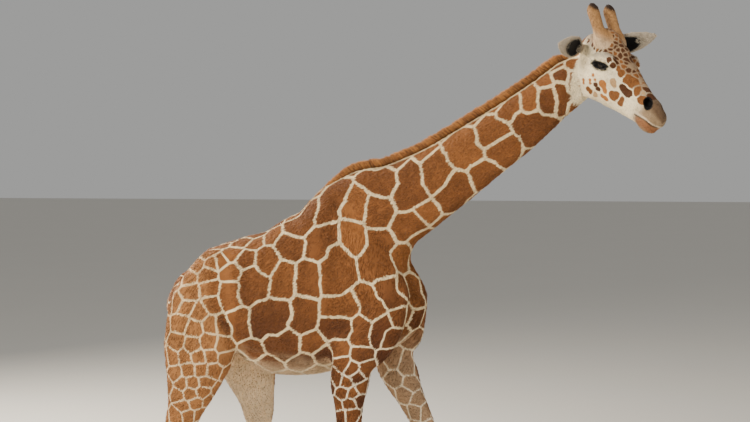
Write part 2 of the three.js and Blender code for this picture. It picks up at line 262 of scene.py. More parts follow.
BROW = Mass((216, 86, 38), (86, 36, 42))
JAW = Mass((95, 48, -150), (102, 38, 80))
FOREHEAD = Mass((165, 0, 84), (118, 60, 52))
HORN_RIDGE = Mass((94, 0, 112), (84, 54, 54))
CHIN = Mass((592, 0, -170), (60, 38, 28))
EYE_AT = (206, 87, 6)
EYE_RADIUS = 27
LID_PITCH = 14.0
LIDS = Mass((204, 83, 6), (64, 34, 40), LID_PITCH)
LID_SLIT = Mass((204, 120, -5), (58, 26, 20), LID_PITCH)
LID_DARK = Mass((204, 110, 0), (84, 42, 33), LID_PITCH)
LID_FOLD = Mass((198, 117, 24), (68, 13, 7), 18.0)
LID_BAG = Mass((206, 112, -36), (54, 10, 5), 8.0)
BROW_RIDGE = Mass((196, 92, 52), (70, 24, 17), 20.0)
CHEEK_BONE = Mass((300, 66, -36), (110, 28, 20), -6.0)
CHEEK_HOLLOW = Mass((400, 104, -78), (120, 26, 30), -2.0)
LIP_PAD = Mass((600, 30, -92), (64, 31, 30))
NOSTRIL_PAD = Mass((574, 31, -46), (42, 24, 28), -30.0)
MASSETER = Mass((168, 80, -84), (86, 24, 66), -16.0)
TEMPLE_HOLLOW = Mass((92, 134, 26), (44, 24, 26))
LIP_FOLD = Mass((536, 68, -112), (26, 8, 12), -50.0)
NOSTRIL = Mass((578, 45, -38), (40, 22, 31), -32.0, 24.0)
NOSTRIL_DEEP = Mass((562, 28, -46), (28, 24, 21), -30.0)
NOSE_CREASE = Mass((550, 62, -82), (10, 6, 34), -18.0)


@dataclass(frozen=True)
class Stance:
    """Where a leg stands in the walk: x of its top, joint and fetlock, and its reach forward."""

    side: int
    fore: bool
    top: float
    joint: float
    fetlock: float
    reach: float


STANCES = {
    "leg_fore_right": Stance(RIGHT, True, -350, -362, -384, 0),
    "leg_fore_left": Stance(LEFT, True, -118, 170, 322, 336),
    "leg_hind_right": Stance(RIGHT, False, -1290, -1442, -1492, 0),
    "leg_hind_left": Stance(LEFT, False, -1000, -948, -848, 345),
}


@dataclass(frozen=True)
class LegSizes:
    """A leg's levels, and its half sizes there: side to side, to the front and to the back."""

    top: float
    joint: float
    upper: tuple[float, float, float]
    middle: tuple[float, float, float]
    taper: tuple[float, float, float]
    joint_top: tuple[float, float, float]
    joint_low: tuple[float, float, float]
    cannon_high: tuple[float, float, float] = (36, 42, 46)
    cannon: tuple[float, float, float] = (33, 38, 42)
    cannon_low: tuple[float, float, float] = (36, 41, 46)
    fetlock: tuple[float, float, float] = (49, 50, 56)
    pastern: tuple[float, float, float] = (46, 44, 48)
    coronet: tuple[float, float, float] = (60, 52, 62)
    forearm_level: float = 1130
    cannon_level: float = 420
    cannon_low_level: float = 270
    fetlock_level: float = 190
    pastern_level: float = 140
    coronet_level: float = 82
    foot_ahead: float = 42
    spread_top: float = 205
    spread_foot: float = 182
    root_above: float = 60.0
    taper_gap: float = 140.0
    bulge_gap: float = 50.0
    pastern_share: float = 0.55


FORELEG = LegSizes(1400, 790, (70, 98, 98), (56, 78, 78), (46, 58, 58), (50, 58, 62), (47, 54, 54))
HINDLEG = LegSizes(1330, 850, (70, 120, 120), (56, 103, 103), (46, 62, 74), (50, 58, 80), (47, 54, 72))
SHOULDER_LEAN = 2.6
HAUNCH_LEAN = 1.35
HOOF_HEEL = 58
HOOF_HEIGHT = 96
HOOF_SLOPE_RUN = 114
HOOF_HEEL_BACK = 85


@dataclass(frozen=True)
class CameraSpot:
    """The camera: its place in the row's frame and its view, for a picture of the given size."""

    place: tuple[float, float, float] = (1.1516, -9.148, 2.81)
    azimuth_deg: float = 8.0
    focal_px: float = 1615.0
    rise_px: float = 76.0
    width_px: int = 750
    height_px: int = 422
    sensor_mm: float = 36.0

    def axes(self) -> tuple[np.ndarray, np.ndarray, np.ndarray]:
        """The camera's right, forward and up.

        Returns:
            Three unit vectors.
        """
        turn = math.radians(self.azimuth_deg)
        pitch = math.atan(self.rise_px / self.focal_px)
        right = np.array((math.cos(turn), math.sin(turn), 0.0))
        level = np.array((-math.sin(turn), math.cos(turn), 0.0))
        forward = level * math.cos(pitch) - UPWARD * math.sin(pitch)
        return right, forward, np.cross(right, forward)

    def ray(self, across_px: float, down_px: float) -> np.ndarray:
        """The direction in which a point of the picture lies.

        Args:
            across_px: pixels from the picture's left edge.
            down_px: pixels from its top edge.

        Returns:
            A unit vector.
        """
        right, forward, up = self.axes()
        way = forward + right * (across_px - self.width_px / 2) / self.focal_px
        way = way - up * (down_px - self.height_px / 2) / self.focal_px
        return way / np.linalg.norm(way)

    def build(self) -> None:
        """Makes the camera and hands it to the scene."""
        data = bpy.data.cameras.new("camera")
        data.sensor_width = self.sensor_mm
        data.lens = self.sensor_mm * self.focal_px / self.width_px
        data.clip_end = 200.0
        camera = bpy.data.objects.new("camera", data)
        right, forward, up = self.axes()
        turn = Matrix((right, up, -forward)).transposed()
        camera.matrix_world = Matrix.Translation(self.place) @ turn.to_4x4()
        bpy.context.scene.collection.objects.link(camera)
        bpy.context.scene.camera = camera


# ---------------------------------------------------------------- places and forms


def turned(x_deg: float = 0.0, y_deg: float = 0.0, z_deg: float = 0.0) -> np.ndarray:
    """A turn about x, then y, then z.

    Args:
        x_deg: the turn about x.
        y_deg: the turn about y.
        z_deg: the turn about z.

    Returns:
        A 4 by 4 matrix.
    """
    x, y, z = (math.radians(a) for a in (x_deg, y_deg, z_deg))
    return np.array(Matrix.Rotation(z, 4, "Z") @ Matrix.Rotation(y, 4, "Y") @ Matrix.Rotation(x, 4, "X"))


def shifted(at: tuple[float, float, float]) -> np.ndarray:
    """A move by a vector, as a 4 by 4 matrix."""
    return np.array(Matrix.Translation(at))


def mirrored(side: int) -> np.ndarray:
    """The mirror that takes what is built on the left to a side, as a 4 by 4 matrix."""
    return np.diag((1.0, float(side), 1.0, 1.0)) if side == RIGHT else np.eye(4)


def placed(points: np.ndarray, place: np.ndarray) -> np.ndarray:
    """Points taken through a place.

    Args:
        points: rows of x, y, z.
        place: a 4 by 4 matrix.

    Returns:
        The moved rows.
    """
    return np.asarray(points, float) @ place[:3, :3].T + place[:3, 3]


def unit(rows: np.ndarray) -> np.ndarray:
    """Rows scaled to length one."""
    return rows / np.maximum(np.linalg.norm(rows, axis=-1, keepdims=True), 1e-9)


def smooth_step(value: np.ndarray, low: float, high: float) -> np.ndarray:
    """A smooth rise from 0 at low to 1 at high."""
    share = np.clip((value - low) / (high - low), 0.0, 1.0)
    return share * share * (3.0 - 2.0 * share)


HEAD_POSE = HeadPose()
HEAD_TURN = turned(HEAD_POSE.tilt_deg, HEAD_POSE.nod_deg, HEAD_POSE.turn_deg)


def body_place() -> np.ndarray:
    """The place that takes the design's millimetres to the row's metres, found from the eyes.

    Returns:
        A 4 by 4 matrix.
    """
    eyes = [sum((Vector(c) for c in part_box(f"eye_{side}")), Vector()) / 2 for side in ("right", "left")]
    middle = np.array((eyes[0] + eyes[1]) / 2)
    between = placed(np.array([(EYE_AT[0], 0.0, EYE_AT[2])]), shifted(HEAD_POSE.at) @ HEAD_TURN)[0]
    place = np.diag((MM, MM, MM, 1.0))
    place[:3, 3] = middle - between * MM
    return place


BODY = body_place()
HEAD_FRAME = BODY @ shifted(HEAD_POSE.at) @ HEAD_TURN
HEAD_BACK = np.linalg.inv(HEAD_FRAME)


def ear_place(side: int) -> np.ndarray:
    """The place of one ear, which is built on the left of the head.

    Args:
        side: LEFT or RIGHT.

    Returns:
        A 4 by 4 matrix.
    """
    pose = EAR_POSES[side]
    place = HEAD_FRAME @ mirrored(side) @ shifted((0.0, pose.out, pose.up))
    return place @ turned(pose.lift_deg, 0.0, -pose.swing_deg)


class Spline:
    """A smooth curve through rows of numbers, its parameter shared equally between them."""

    def __init__(self, rows: list[tuple[float, ...]]) -> None:
        """Keeps the rows with one more at each end, in line with the last two."""
        inner = np.asarray(rows, float)
        self.rows = np.vstack((2 * inner[0] - inner[1], inner, 2 * inner[-1] - inner[-2]))
        self.spans = len(inner) - 1

    def __call__(self, t: np.ndarray) -> np.ndarray:
        """The curve's rows at several parameters.

        Args:
            t: parameters from 0 to 1.

        Returns:
            One row for each.
        """
        along = np.clip(np.atleast_1d(t), 0.0, 1.0) * self.spans
        i = np.minimum(along.astype(int), self.spans - 1)
        w = (along - i)[:, None]
        p0, p1, p2, p3 = (self.rows[i + k] for k in range(4))
        pairs = ((p0, p1), (p1, p2), (p2, p3))
        gaps = [np.sqrt(np.linalg.norm(b - a, axis=1))[:, None] for a, b in pairs]
        d1 = np.where(gaps[1] < 1e-4, 1.0, gaps[1])
        d0 = np.where(gaps[0] < 1e-4, d1, gaps[0])
        d2 = np.where(gaps[2] < 1e-4, d1, gaps[2])
        start = ((p1 - p0) / d0 - (p2 - p0) / (d0 + d1) + (p2 - p1) / d1) * d1
        end = ((p2 - p1) / d1 - (p3 - p1) / (d1 + d2) + (p3 - p2) / d2) * d1
        cubic = 2 * p1 - 2 * p2 + start + end
        square = -3 * p1 + 3 * p2 - 2 * start - end
        return p1 + start * w + square * w**2 + cubic * w**3


def round_angles(count: int) -> np.ndarray:
    """Even angles all the way round."""
    return np.linspace(0, 2 * np.pi, count, endpoint=False)


def ball_points(polar: np.ndarray, sides: int) -> np.ndarray:
    """Points of a ball of radius one: rings at angles from its top, then its top and bottom."""
    angle, turn = np.meshgrid(polar, round_angles(sides), indexing="ij")
    rows = np.stack((np.sin(angle) * np.cos(turn), np.sin(angle) * np.sin(turn), np.cos(angle)), -1)
    return np.vstack((rows.reshape(-1, 3), ((0, 0, 1.0), (0, 0, -1.0))))


def ring_faces(rings: int, sides: int) -> tuple[np.ndarray, np.ndarray]:
    """The faces over rings of points that are followed by a point for each end.

    Args:
        rings: how many rings.
        sides: points round each ring.

    Returns:
        The triangles of both ends, and the quads between the rings.
    """
    ring = np.arange(rings * sides).reshape(rings, sides)
    after = np.roll(ring, -1, axis=1)
    quads = np.stack((ring[:-1], ring[1:], after[1:], after[:-1]), -1).reshape(-1, 4)
    first, last = np.full(sides, rings * sides), np.full(sides, rings * sides + 1)
    ends = (np.stack((first, ring[0], after[0]), -1), np.stack((last, after[-1], ring[-1]), -1))
    return np.vstack(ends), quads


@dataclass
class Solid:
    """A closed surface in the row's frame, of triangles and quads."""

    points: np.ndarray
    triangles: np.ndarray
    quads: np.ndarray


class Limb:
    """A length of flesh lofted through named stations."""

    LOCATING_STEPS = 160

    def __init__(self, stations: Stations, place: np.ndarray = BODY, side: np.ndarray = ACROSS) -> None:
        """Sets the curves of the limb's middle and of its half sizes."""
        self.line = Spline([s.middle for s in stations.values()])
        self.half = Spline([s.squares for s in stations.values()])
        self.place = place
        self.side = side

    def frames(self, t: np.ndarray) -> dict[str, np.ndarray]:
        """The limb's middle, directions and half sizes at several parameters, in its own frame.

        Args:
            t: parameters from 0 to 1.

        Returns:
            Arrays named middle, along, across, upward and half.
        """
        step = 1e-4
        along = unit(self.line(np.minimum(t + step, 1.0)) - self.line(np.maximum(t - step, 0.0)))
        across = unit(self.side - (along @ self.side)[:, None] * along)
        half = np.sqrt(np.maximum(self.half(t), 1.0))
        upward = np.cross(along, across)
        return {"middle": self.line(t), "along": along, "across": across, "upward": upward, "half": half}

    def at(self, t: np.ndarray, theta: np.ndarray, proud: float = 0.0) -> np.ndarray:
        """Points of the limb's surface.

        Args:
            t: parameters along the limb.
            theta: angles round it, from its across side towards its upper side.
            proud: how far outside the surface, in millimetres.

        Returns:
            Rows of the row's frame, in metres.
        """
        f = self.frames(t)
        cos, sin = np.cos(theta)[:, None], np.sin(theta)[:, None]
        wide = f["half"][:, :1] + proud
        tall = np.where(sin > 0, f["half"][:, 1:2], f["half"][:, 2:3]) + proud
        return placed(f["middle"] + f["across"] * wide * cos + f["upward"] * tall * sin, self.place)

    def solid(self, sides: int = 36, rings: int = 72) -> Solid:
        """The limb as a closed surface.

        Args:
            sides: points round each ring.
            rings: rings along the limb.

        Returns:
            The surface in the row's frame.
        """
        t, theta = np.meshgrid(np.linspace(0, 1, rings), round_angles(sides), indexing="ij")
        body = self.at(t.ravel(), theta.ravel())
        ends = placed(self.line(np.array((0.0, 1.0))), self.place)
        return Solid(np.vstack((body, ends)), *ring_faces(rings, sides))

    def locate(self, points: np.ndarray) -> dict[str, np.ndarray]:
        """Where points lie against the limb.

        Args:
            points: rows of the row's frame.

        Returns:
            Arrays named t, theta, depth (1 on the surface), and flow, the limb's direction there.
        """
        t = np.linspace(0.0, 1.0, self.LOCATING_STEPS)
        f = self.frames(t)
        own = placed(points, np.linalg.inv(self.place))
        tree = KDTree(len(t))
        for i, middle in enumerate(f["middle"]):
            tree.insert(middle, i)
        tree.balance()
        near = np.array([tree.find(p)[1] for p in own])
        away = own - f["middle"][near]
        wide = np.einsum("ij,ij->i", away, f["across"][near]) / f["half"][near, 0]
        tall = np.einsum("ij,ij->i", away, f["upward"][near])
        tall = tall / np.where(tall > 0, f["half"][near, 1], f["half"][near, 2])
        rest = np.einsum("ij,ij->i", away, f["along"][near]) / f["half"][near].mean(axis=1)
        flow = unit(f["along"] @ self.place[:3, :3].T)[near]
        depth = np.sqrt(wide**2 + tall**2 + rest**2)
        return {"t": t[near], "theta": np.arctan2(tall, wide), "depth": depth, "flow": flow}


def egg(mass: Mass, side: int = LEFT, rings: int = 24, sides: int = 32) -> Solid:
    """An egg-shaped mass of the head as a closed surface.

    Args:
        mass: its middle and half sizes.
        side: the side of the head that it is on.
        rings: rings from pole to pole.
        sides: points round each ring.

    Returns:
        The surface in the row's frame.
    """
    ball = ball_points(np.linspace(POLE_GAP, np.pi - POLE_GAP, rings), sides)
    own = placed(ball * mass.size, turned(0.0, -mass.pitch_deg, mass.yaw_deg)) + mass.at
    return Solid(placed(own, HEAD_FRAME @ mirrored(side)), *ring_faces(rings, sides))


class Field:
    """Distances to a form on an even grid of a box, negative inside."""

    def __init__(self, low: np.ndarray, high: np.ndarray, cell: float, reach: float) -> None:
        """Starts an empty box whose distances are true up to the reach."""
        self.cell = cell
        self.reach = reach
        self.start = np.floor(np.asarray(low) / cell).astype(int)
        self.shape = np.ceil(np.asarray(high) / cell).astype(int) - self.start + 1
        self.values = np.full(self.shape, reach, np.float32)
        self.way = openvdb.createLinearTransform(voxelSize=cell)

    def distances(self, solid: Solid, inset: float) -> tuple[tuple[slice, ...], np.ndarray]:
        """The distances to a solid in the part of the box that it reaches.

        Args:
            solid: the closed surface.
            inset: how far inside it the surface is taken.

        Returns:
            The window of the grid, and its distances.
        """
        grid = openvdb.FloatGrid.createLevelSetFromPolygons(
            solid.points.astype(np.float32),
            triangles=solid.triangles.astype(np.uint32),
            quads=solid.quads.astype(np.uint32),
            transform=self.way,
            halfWidth=self.reach / self.cell,
        )
        low = np.floor((solid.points.min(axis=0) - self.reach) / self.cell).astype(int)
        high = np.ceil((solid.points.max(axis=0) + self.reach) / self.cell).astype(int)
        low, high = np.maximum(low, self.start), np.minimum(high, self.start + self.shape - 1)
        window = tuple(slice(a, b + 1) for a, b in zip(low - self.start, high - self.start))
        near = np.empty(high - low + 1, np.float32)
        grid.copyToArray(near, ijk=tuple(int(v) for v in low))
        return window, near + inset

    def join(self, solid: Solid, blend: float, inset: float) -> None:
        """Adds a solid, with a fillet of the given breadth where it meets the rest."""
        window, near = self.distances(solid, inset)
        old = self.values[window]
        gap = np.maximum(blend - np.abs(old - near), 0.0) / blend
        self.values[window] = np.minimum(old, near) - gap * gap * blend / 4

    def carve(self, solid: Solid, blend: float, inset: float = 0.0) -> None:
        """Takes a solid away, with a rounded edge of the given breadth."""
        window, near = self.distances(solid, inset)
        old, other = self.values[window], -near
        gap = np.maximum(blend - np.abs(old - other), 0.0) / blend
        self.values[window] = np.maximum(old, other) + gap * gap * blend / 4

    def shear(self, point: np.ndarray, normal: np.ndarray, middle: np.ndarray, size: float) -> None:
        """Takes away what lies behind a plane, near one place.

        Args:
            point: a point of the plane.
            normal: the side that is kept.
            middle: the middle of the block that is looked at.
            size: its half size.
        """
        low = np.maximum(np.floor((middle - size) / self.cell).astype(int) - self.start, 0)
        high = np.minimum(np.ceil((middle + size) / self.cell).astype(int) - self.start, self.shape - 1)
        window = tuple(slice(a, b + 1) for a, b in zip(low, high))
        axes = [(np.arange(a, b + 1) + s) * self.cell for a, b, s in zip(low, high, self.start)]
        at = np.stack(np.meshgrid(*axes, indexing="ij"), -1)
        behind = -((at - point) @ normal).astype(np.float32)
        self.values[window] = np.maximum(self.values[window], behind)

    def surface(self) -> tuple[np.ndarray, np.ndarray, np.ndarray]:
        """The surface where the distance is nothing.

        Returns:
            Points, triangles and quads.
        """
        grid = openvdb.FloatGrid(self.reach)
        grid.transform = self.way
        grid.copyFromArray(self.values, ijk=tuple(int(v) for v in self.start))
        points, triangles, quads = grid.convertToPolygons(isovalue=0.0, adaptivity=0.0)
        return points, triangles, quads


def face_lists(triangles: np.ndarray, quads: np.ndarray) -> list[list[int]]:
    """Triangles and quads as one list of faces."""
    return triangles.tolist() + quads.tolist()


def new_mesh(name: str, points: np.ndarray, faces: list[list[int]]) -> bpy.types.Mesh:
    """A mesh of points and faces, smooth shaded.

    Args:
        name: its name.
        points: rows of x, y, z in metres.
        faces: lists of point numbers.

    Returns:
        The mesh.
    """
    mesh = bpy.data.meshes.new(name)
    mesh.from_pydata(np.asarray(points, float).tolist(), [], faces)
    mesh.polygons.foreach_set("use_smooth", np.ones(len(mesh.polygons), bool))
    mesh.update()
    return mesh


def new_piece(
    mesh: bpy.types.Mesh, nodes: tuple[str, ...], finish: bpy.types.Material
) -> bpy.types.Object:
    """A finished piece of the model that rides on its one body.

    Args:
        mesh: its shape, in place.
        nodes: the fixed frame's nodes that it stands for.
        finish: its material.

    Returns:
        The object.
    """
    piece = bpy.data.objects.new(mesh.name, mesh)
    bpy.context.scene.collection.objects.link(piece)
    mesh.materials.clear()
    mesh.materials.append(finish)
    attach(piece, "root")
    if nodes:
        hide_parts(*nodes)
    LOG.info("%s: %d faces", piece.name, len(mesh.polygons))
    return piece


def mesh_points(mesh: bpy.types.Mesh) -> np.ndarray:
    """The points of a mesh as rows."""
    rows = np.empty(len(mesh.vertices) * 3, np.float32)
    mesh.vertices.foreach_get("co", rows)
    return rows.reshape(-1, 3).astype(float)


def mesh_normals(mesh: bpy.types.Mesh) -> np.ndarray:
    """The point normals of a mesh as rows."""
    rows = np.empty(len(mesh.vertices) * 3, np.float32)
    mesh.vertex_normals.foreach_get("vector", rows)
    return rows.reshape(-1, 3).astype(float)


def mesh_edges(mesh: bpy.types.Mesh) -> np.ndarray:
    """The edges of a mesh as pairs of point numbers."""
    pairs = np.empty(len(mesh.edges) * 2, np.int32)
    mesh.edges.foreach_get("vertices", pairs)
    return pairs.reshape(-1, 2)


def relaxed(values: np.ndarray, edges: np.ndarray, rounds: int, share: float = 0.5) -> np.ndarray:
    """Values at the points of a mesh, evened out with their neighbours.

    Args:
        values: one row for each point.
        edges: the mesh's edges.
        rounds: how many times.
        share: how much of each step is taken.

    Returns:
        The evened rows.
    """
    ends = np.concatenate((edges[:, 0], edges[:, 1]))
    others = np.concatenate((edges[:, 1], edges[:, 0]))
    count = np.maximum(np.bincount(ends, minlength=len(values)), 1)[:, None]
    out = values.astype(float).reshape(len(values), -1)
    for _ in range(rounds):
        columns = [np.bincount(ends, weights=column[others], minlength=len(out)) for column in out.T]
        total = np.stack(columns, -1)
        out = out * (1 - share) + total / count * share
    return out.reshape(values.shape)


def write_values(mesh: bpy.types.Mesh, name: str, values: np.ndarray, domain: str = "POINT") -> None:
    """Writes an attribute of numbers or of rows of three.

    Args:
        mesh: the mesh.
        name: the attribute's name.
        values: numbers, or rows of three.
        domain: POINT or CORNER.
    """
    kind, key = ("FLOAT", "value") if values.ndim == 1 else ("FLOAT_VECTOR", "vector")
    attribute = mesh.attributes.new(name, kind, domain)
    attribute.data.foreach_set(key, np.ascontiguousarray(values, np.float32).ravel())


# ---------------------------------------------------------------- skin


class Part(Enum):
    """The parts of the body that the coat's lie, markings and colours go by."""

    HEAD = 0
    NECK = 1
    TRUNK = 2
    SHOULDER = 3
    HAUNCH = 4
    FORELEG = 5
    HINDLEG = 6
    TAIL = 7
    EAR = 8
    OSSICONE = 9


def leg_stations(stance: Stance) -> Stations:
    """The stations of one leg, from inside the trunk to the coronet.

    Args:
        stance: where the leg stands.

    Returns:
        Its named stations.
    """
    sizes = FORELEG if stance.fore else HINDLEG

    def station(x: float, z: float, half: tuple[float, float, float]) -> Station:
        """A section of the leg at a level."""
        out = sizes.spread_foot + (sizes.spread_top - sizes.spread_foot) * z / sizes.top
        return Station(x, stance.side * out, z, *half)

    def above(z: float, half: tuple[float, float, float]) -> Station:
        """A section above the knee or hock."""
        share = (z - sizes.joint) / (sizes.top - sizes.joint)
        return station(stance.joint + (stance.top - stance.joint) * share, z, half)

    def below(z: float, half: tuple[float, float, float]) -> Station:
        """A section below the knee or hock."""
        share = (z - sizes.fetlock_level) / (sizes.joint - sizes.fetlock_level)
        return station(stance.fetlock + (stance.joint - stance.fetlock) * share, z, half)

    point = (1.0, 1.0, 1.0)
    toe = stance.fetlock + sizes.foot_ahead
    return {
        "root": station(stance.top, sizes.top + sizes.root_above, point),
        "upper": station(stance.top, sizes.top, sizes.upper),
        "middle": above(sizes.forearm_level, sizes.middle),
        "taper": above(sizes.joint + sizes.taper_gap, sizes.taper),
        "joint_top": above(sizes.joint + sizes.bulge_gap, sizes.joint_top),
        "joint_low": below(sizes.joint - sizes.bulge_gap, sizes.joint_low),
        "cannon_high": below(sizes.joint - sizes.taper_gap, sizes.cannon_high),
        "cannon": below(sizes.cannon_level, sizes.cannon),
        "cannon_low": below(sizes.cannon_low_level, sizes.cannon_low),
        "fetlock": below(sizes.fetlock_level, sizes.fetlock),
        "pastern": station(
            stance.fetlock + sizes.foot_ahead * sizes.pastern_share, sizes.pastern_level, sizes.pastern
        ),
        "coronet": station(toe, sizes.coronet_level, sizes.coronet),
        "end": station(toe, sizes.coronet_level / 2, point),
    }


def leaning(stations: Stations, stance: Stance, power: float) -> Stations:
    """A shoulder or thigh mass that follows its leg's reach.

    Args:
        stations: the mass as it is on a leg that stands under the body.
        stance: the leg.
        power: how strongly the lean grows downward.

    Returns:
        The mass's stations on that side.
    """
    levels = [s.z for s in stations.values()]
    top, foot = max(levels), min(levels)
    moved = {}
    for name, s in stations.items():
        lean = stance.reach * ((top - s.z) / (top - foot)) ** power
        moved[name] = Station(s.x + lean, s.y * stance.side, s.z, s.wide, s.up, s.down)
    return moved


@dataclass
class SkinSizes:
    """The skin's grids, its depth under the tips of the coat, its fillets, and how it is evened.

    All are metres, but the hooves' overlap is millimetres, and rounds and shares are plain numbers.
    """

    body_cell: float = 0.0150
    head_cell: float = 0.0048
    body_reach: float = 0.100
    head_reach: float = 0.050
    coat_depth: float = 0.005
    leg_depth: float = 0.004
    face_depth: float = 0.003
    ear_depth: float = 0.0015
    muscle_fillet: float = 0.050
    neck_fillet: float = 0.090
    tail_fillet: float = 0.030
    skull_fillet: float = 0.026
    jaw_fillet: float = 0.040
    horn_fillet: float = 0.020
    ear_fillet: float = 0.016
    lid_fillet: float = 0.010
    slit_edge: float = 0.004
    hollow_edge: float = 0.014
    collar_gap: float = 0.010
    head_margin: float = 0.02
    collar_reach: float = 0.17
    hoof_overlap: float = 2.0
    trim_ahead: float = 0.08
    trim_reach: float = 0.16
    weld_share: float = 0.3
    collar_rounds: int = 8
    even_rounds: int = 2
    even_share: float = 0.4


@dataclass
class Skin:
    """The one skin of the whole animal, from its lips and ears to its coronets and tail."""

    sizes: SkinSizes = field(default_factory=SkinSizes)
    limbs: list[tuple[Part, Limb]] = field(default_factory=list)

    HEAD_NODES = ("head", "ear_right", "ear_left", "ossicone_right", "ossicone_left")

    def __post_init__(self) -> None:
        """Sets out the limbs that the skin is stretched over."""
        self.limbs = [(Part.HEAD, Limb(HEAD, HEAD_FRAME)), (Part.NECK, Limb(NECK))]
        self.limbs.append((Part.TRUNK, Limb(TRUNK)))
        for stance in STANCES.values():
            upper, leg = (Part.SHOULDER, Part.FORELEG) if stance.fore else (Part.HAUNCH, Part.HINDLEG)
            mass, lean = (SHOULDER, SHOULDER_LEAN) if stance.fore else (HAUNCH, HAUNCH_LEAN)
            self.limbs += [(upper, Limb(leaning(mass, stance, lean))), (leg, Limb(leg_stations(stance)))]
        self.limbs.append((Part.TAIL, Limb(TAIL)))
        for side in (RIGHT, LEFT):
            self.limbs.append((Part.EAR, Limb(EAR, ear_place(side), UPWARD)))
            self.limbs.append((Part.OSSICONE, Limb(OSSICONE, HEAD_FRAME @ mirrored(side))))

    def solids(self, part: Part) -> list[Solid]:
        """The closed surfaces of the limbs of one part."""
        return [limb.solid() for kind, limb in self.limbs if kind is part]

    def collar(self) -> tuple[np.ndarray, np.ndarray]:
        """The plane across the throat where the head's finer skin takes over.

        Returns:
            A point of it, and the direction towards the head.
        """
        throat, nape = (placed(np.array([NECK[n].middle]), BODY)[0] for n in ("throat", "nape"))
        return throat, unit(nape - throat)

    def body_field(self) -> Field:
        """Distances to trunk, neck, shoulders, haunches, legs and tail."""
        sizes = self.sizes
        low, high = (np.array(c) for c in CAD_BOX)
        point, _ = self.collar()
        top = np.array((point[0] + sizes.body_reach * 2, high[1], point[2] + sizes.body_reach * 3))
        grid = Field(low - sizes.body_cell * 3, np.minimum(high, top), sizes.body_cell, sizes.body_reach)
        for part, fillet, depth in (
            (Part.TRUNK, sizes.muscle_fillet, sizes.coat_depth),
            (Part.NECK, sizes.neck_fillet, sizes.coat_depth),
            (Part.SHOULDER, sizes.muscle_fillet, sizes.coat_depth),
            (Part.HAUNCH, sizes.muscle_fillet, sizes.coat_depth),
            (Part.FORELEG, sizes.muscle_fillet, sizes.leg_depth),
            (Part.HINDLEG, sizes.muscle_fillet, sizes.leg_depth),
            (Part.TAIL, sizes.tail_fillet, sizes.leg_depth),
        ):
            for solid in self.solids(part):
                grid.join(solid, fillet, depth)
        for stance in STANCES.values():
            self.trim_foot(grid, stance)
        return grid

    def trim_foot(self, grid: Field, stance: Stance) -> None:
        """Ends the skin of one leg just inside its hoof.

        Args:
            grid: the body's distances.
            stance: the leg.
        """
        sizes = FORELEG if stance.fore else HINDLEG
        heel = stance.fetlock + sizes.foot_ahead - HOOF_HEEL_BACK
        slope = np.array((HOOF_SLOPE_RUN, 0.0, HOOF_HEIGHT - HOOF_HEEL))
        normal = unit(np.array((-slope[2], 0.0, slope[0])))
        own = np.array([(heel, stance.side * sizes.spread_foot, HOOF_HEEL - self.sizes.hoof_overlap)])
        point = placed(own, BODY)[0]
        grid.shear(point, normal, point + FORE_AFT * self.sizes.trim_ahead, self.sizes.trim_reach)

    def head_field(self) -> Field:
        """Distances to the head with its horns and ears, and to the upper neck."""
        sizes = self.sizes
        rows = np.array([tuple(corner) for name in self.HEAD_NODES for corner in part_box(name)])
        point, _ = self.collar()
        low = np.minimum(rows.min(axis=0) - sizes.head_margin, point - sizes.collar_reach)
        grid = Field(low, rows.max(axis=0) + sizes.head_margin, sizes.head_cell, sizes.head_reach)
        for solid in self.solids(Part.HEAD):
            grid.join(solid, sizes.skull_fillet, sizes.face_depth)
        for mass in (FOREHEAD, HORN_RIDGE, CHIN):
            grid.join(egg(mass), sizes.skull_fillet, sizes.face_depth)
        for side in (RIGHT, LEFT):
            for mass in (BROW, BROW_RIDGE, CHEEK_BONE, MASSETER, LIP_PAD, NOSTRIL_PAD):
                grid.join(egg(mass, side), sizes.ear_fillet, sizes.face_depth)
            grid.join(egg(JAW, side), sizes.jaw_fillet, sizes.face_depth)
            for hollow in (CHEEK_HOLLOW, TEMPLE_HOLLOW):
                grid.carve(egg(hollow, side), sizes.skull_fillet)
            for crease in (NOSE_CREASE, LIP_FOLD):
                grid.carve(egg(crease, side), sizes.hollow_edge)
            for hole in (NOSTRIL, NOSTRIL_DEEP):
                grid.carve(egg(hole, side), sizes.slit_edge)
            grid.join(egg(LIDS, side), sizes.lid_fillet, 0.0)
            for crease in (LID_SLIT, LID_FOLD, LID_BAG):
                grid.carve(egg(crease, side), sizes.slit_edge)
        grid.carve(Limb(MOUTH, HEAD_FRAME, UPWARD).solid(), sizes.slit_edge)
        for solid in self.solids(Part.OSSICONE):
            grid.join(solid, sizes.horn_fillet, -sizes.ear_depth)
        for solid in self.solids(Part.NECK):
            grid.join(solid, sizes.jaw_fillet, sizes.coat_depth)
        for side, solid in zip((RIGHT, LEFT), self.solids(Part.EAR)):
            grid.join(solid, sizes.ear_fillet, sizes.ear_depth)
            scoop = Limb(EAR_SCOOP, ear_place(side), UPWARD).solid()
            grid.carve(scoop, sizes.ear_fillet / 4, -sizes.ear_depth)
        return grid

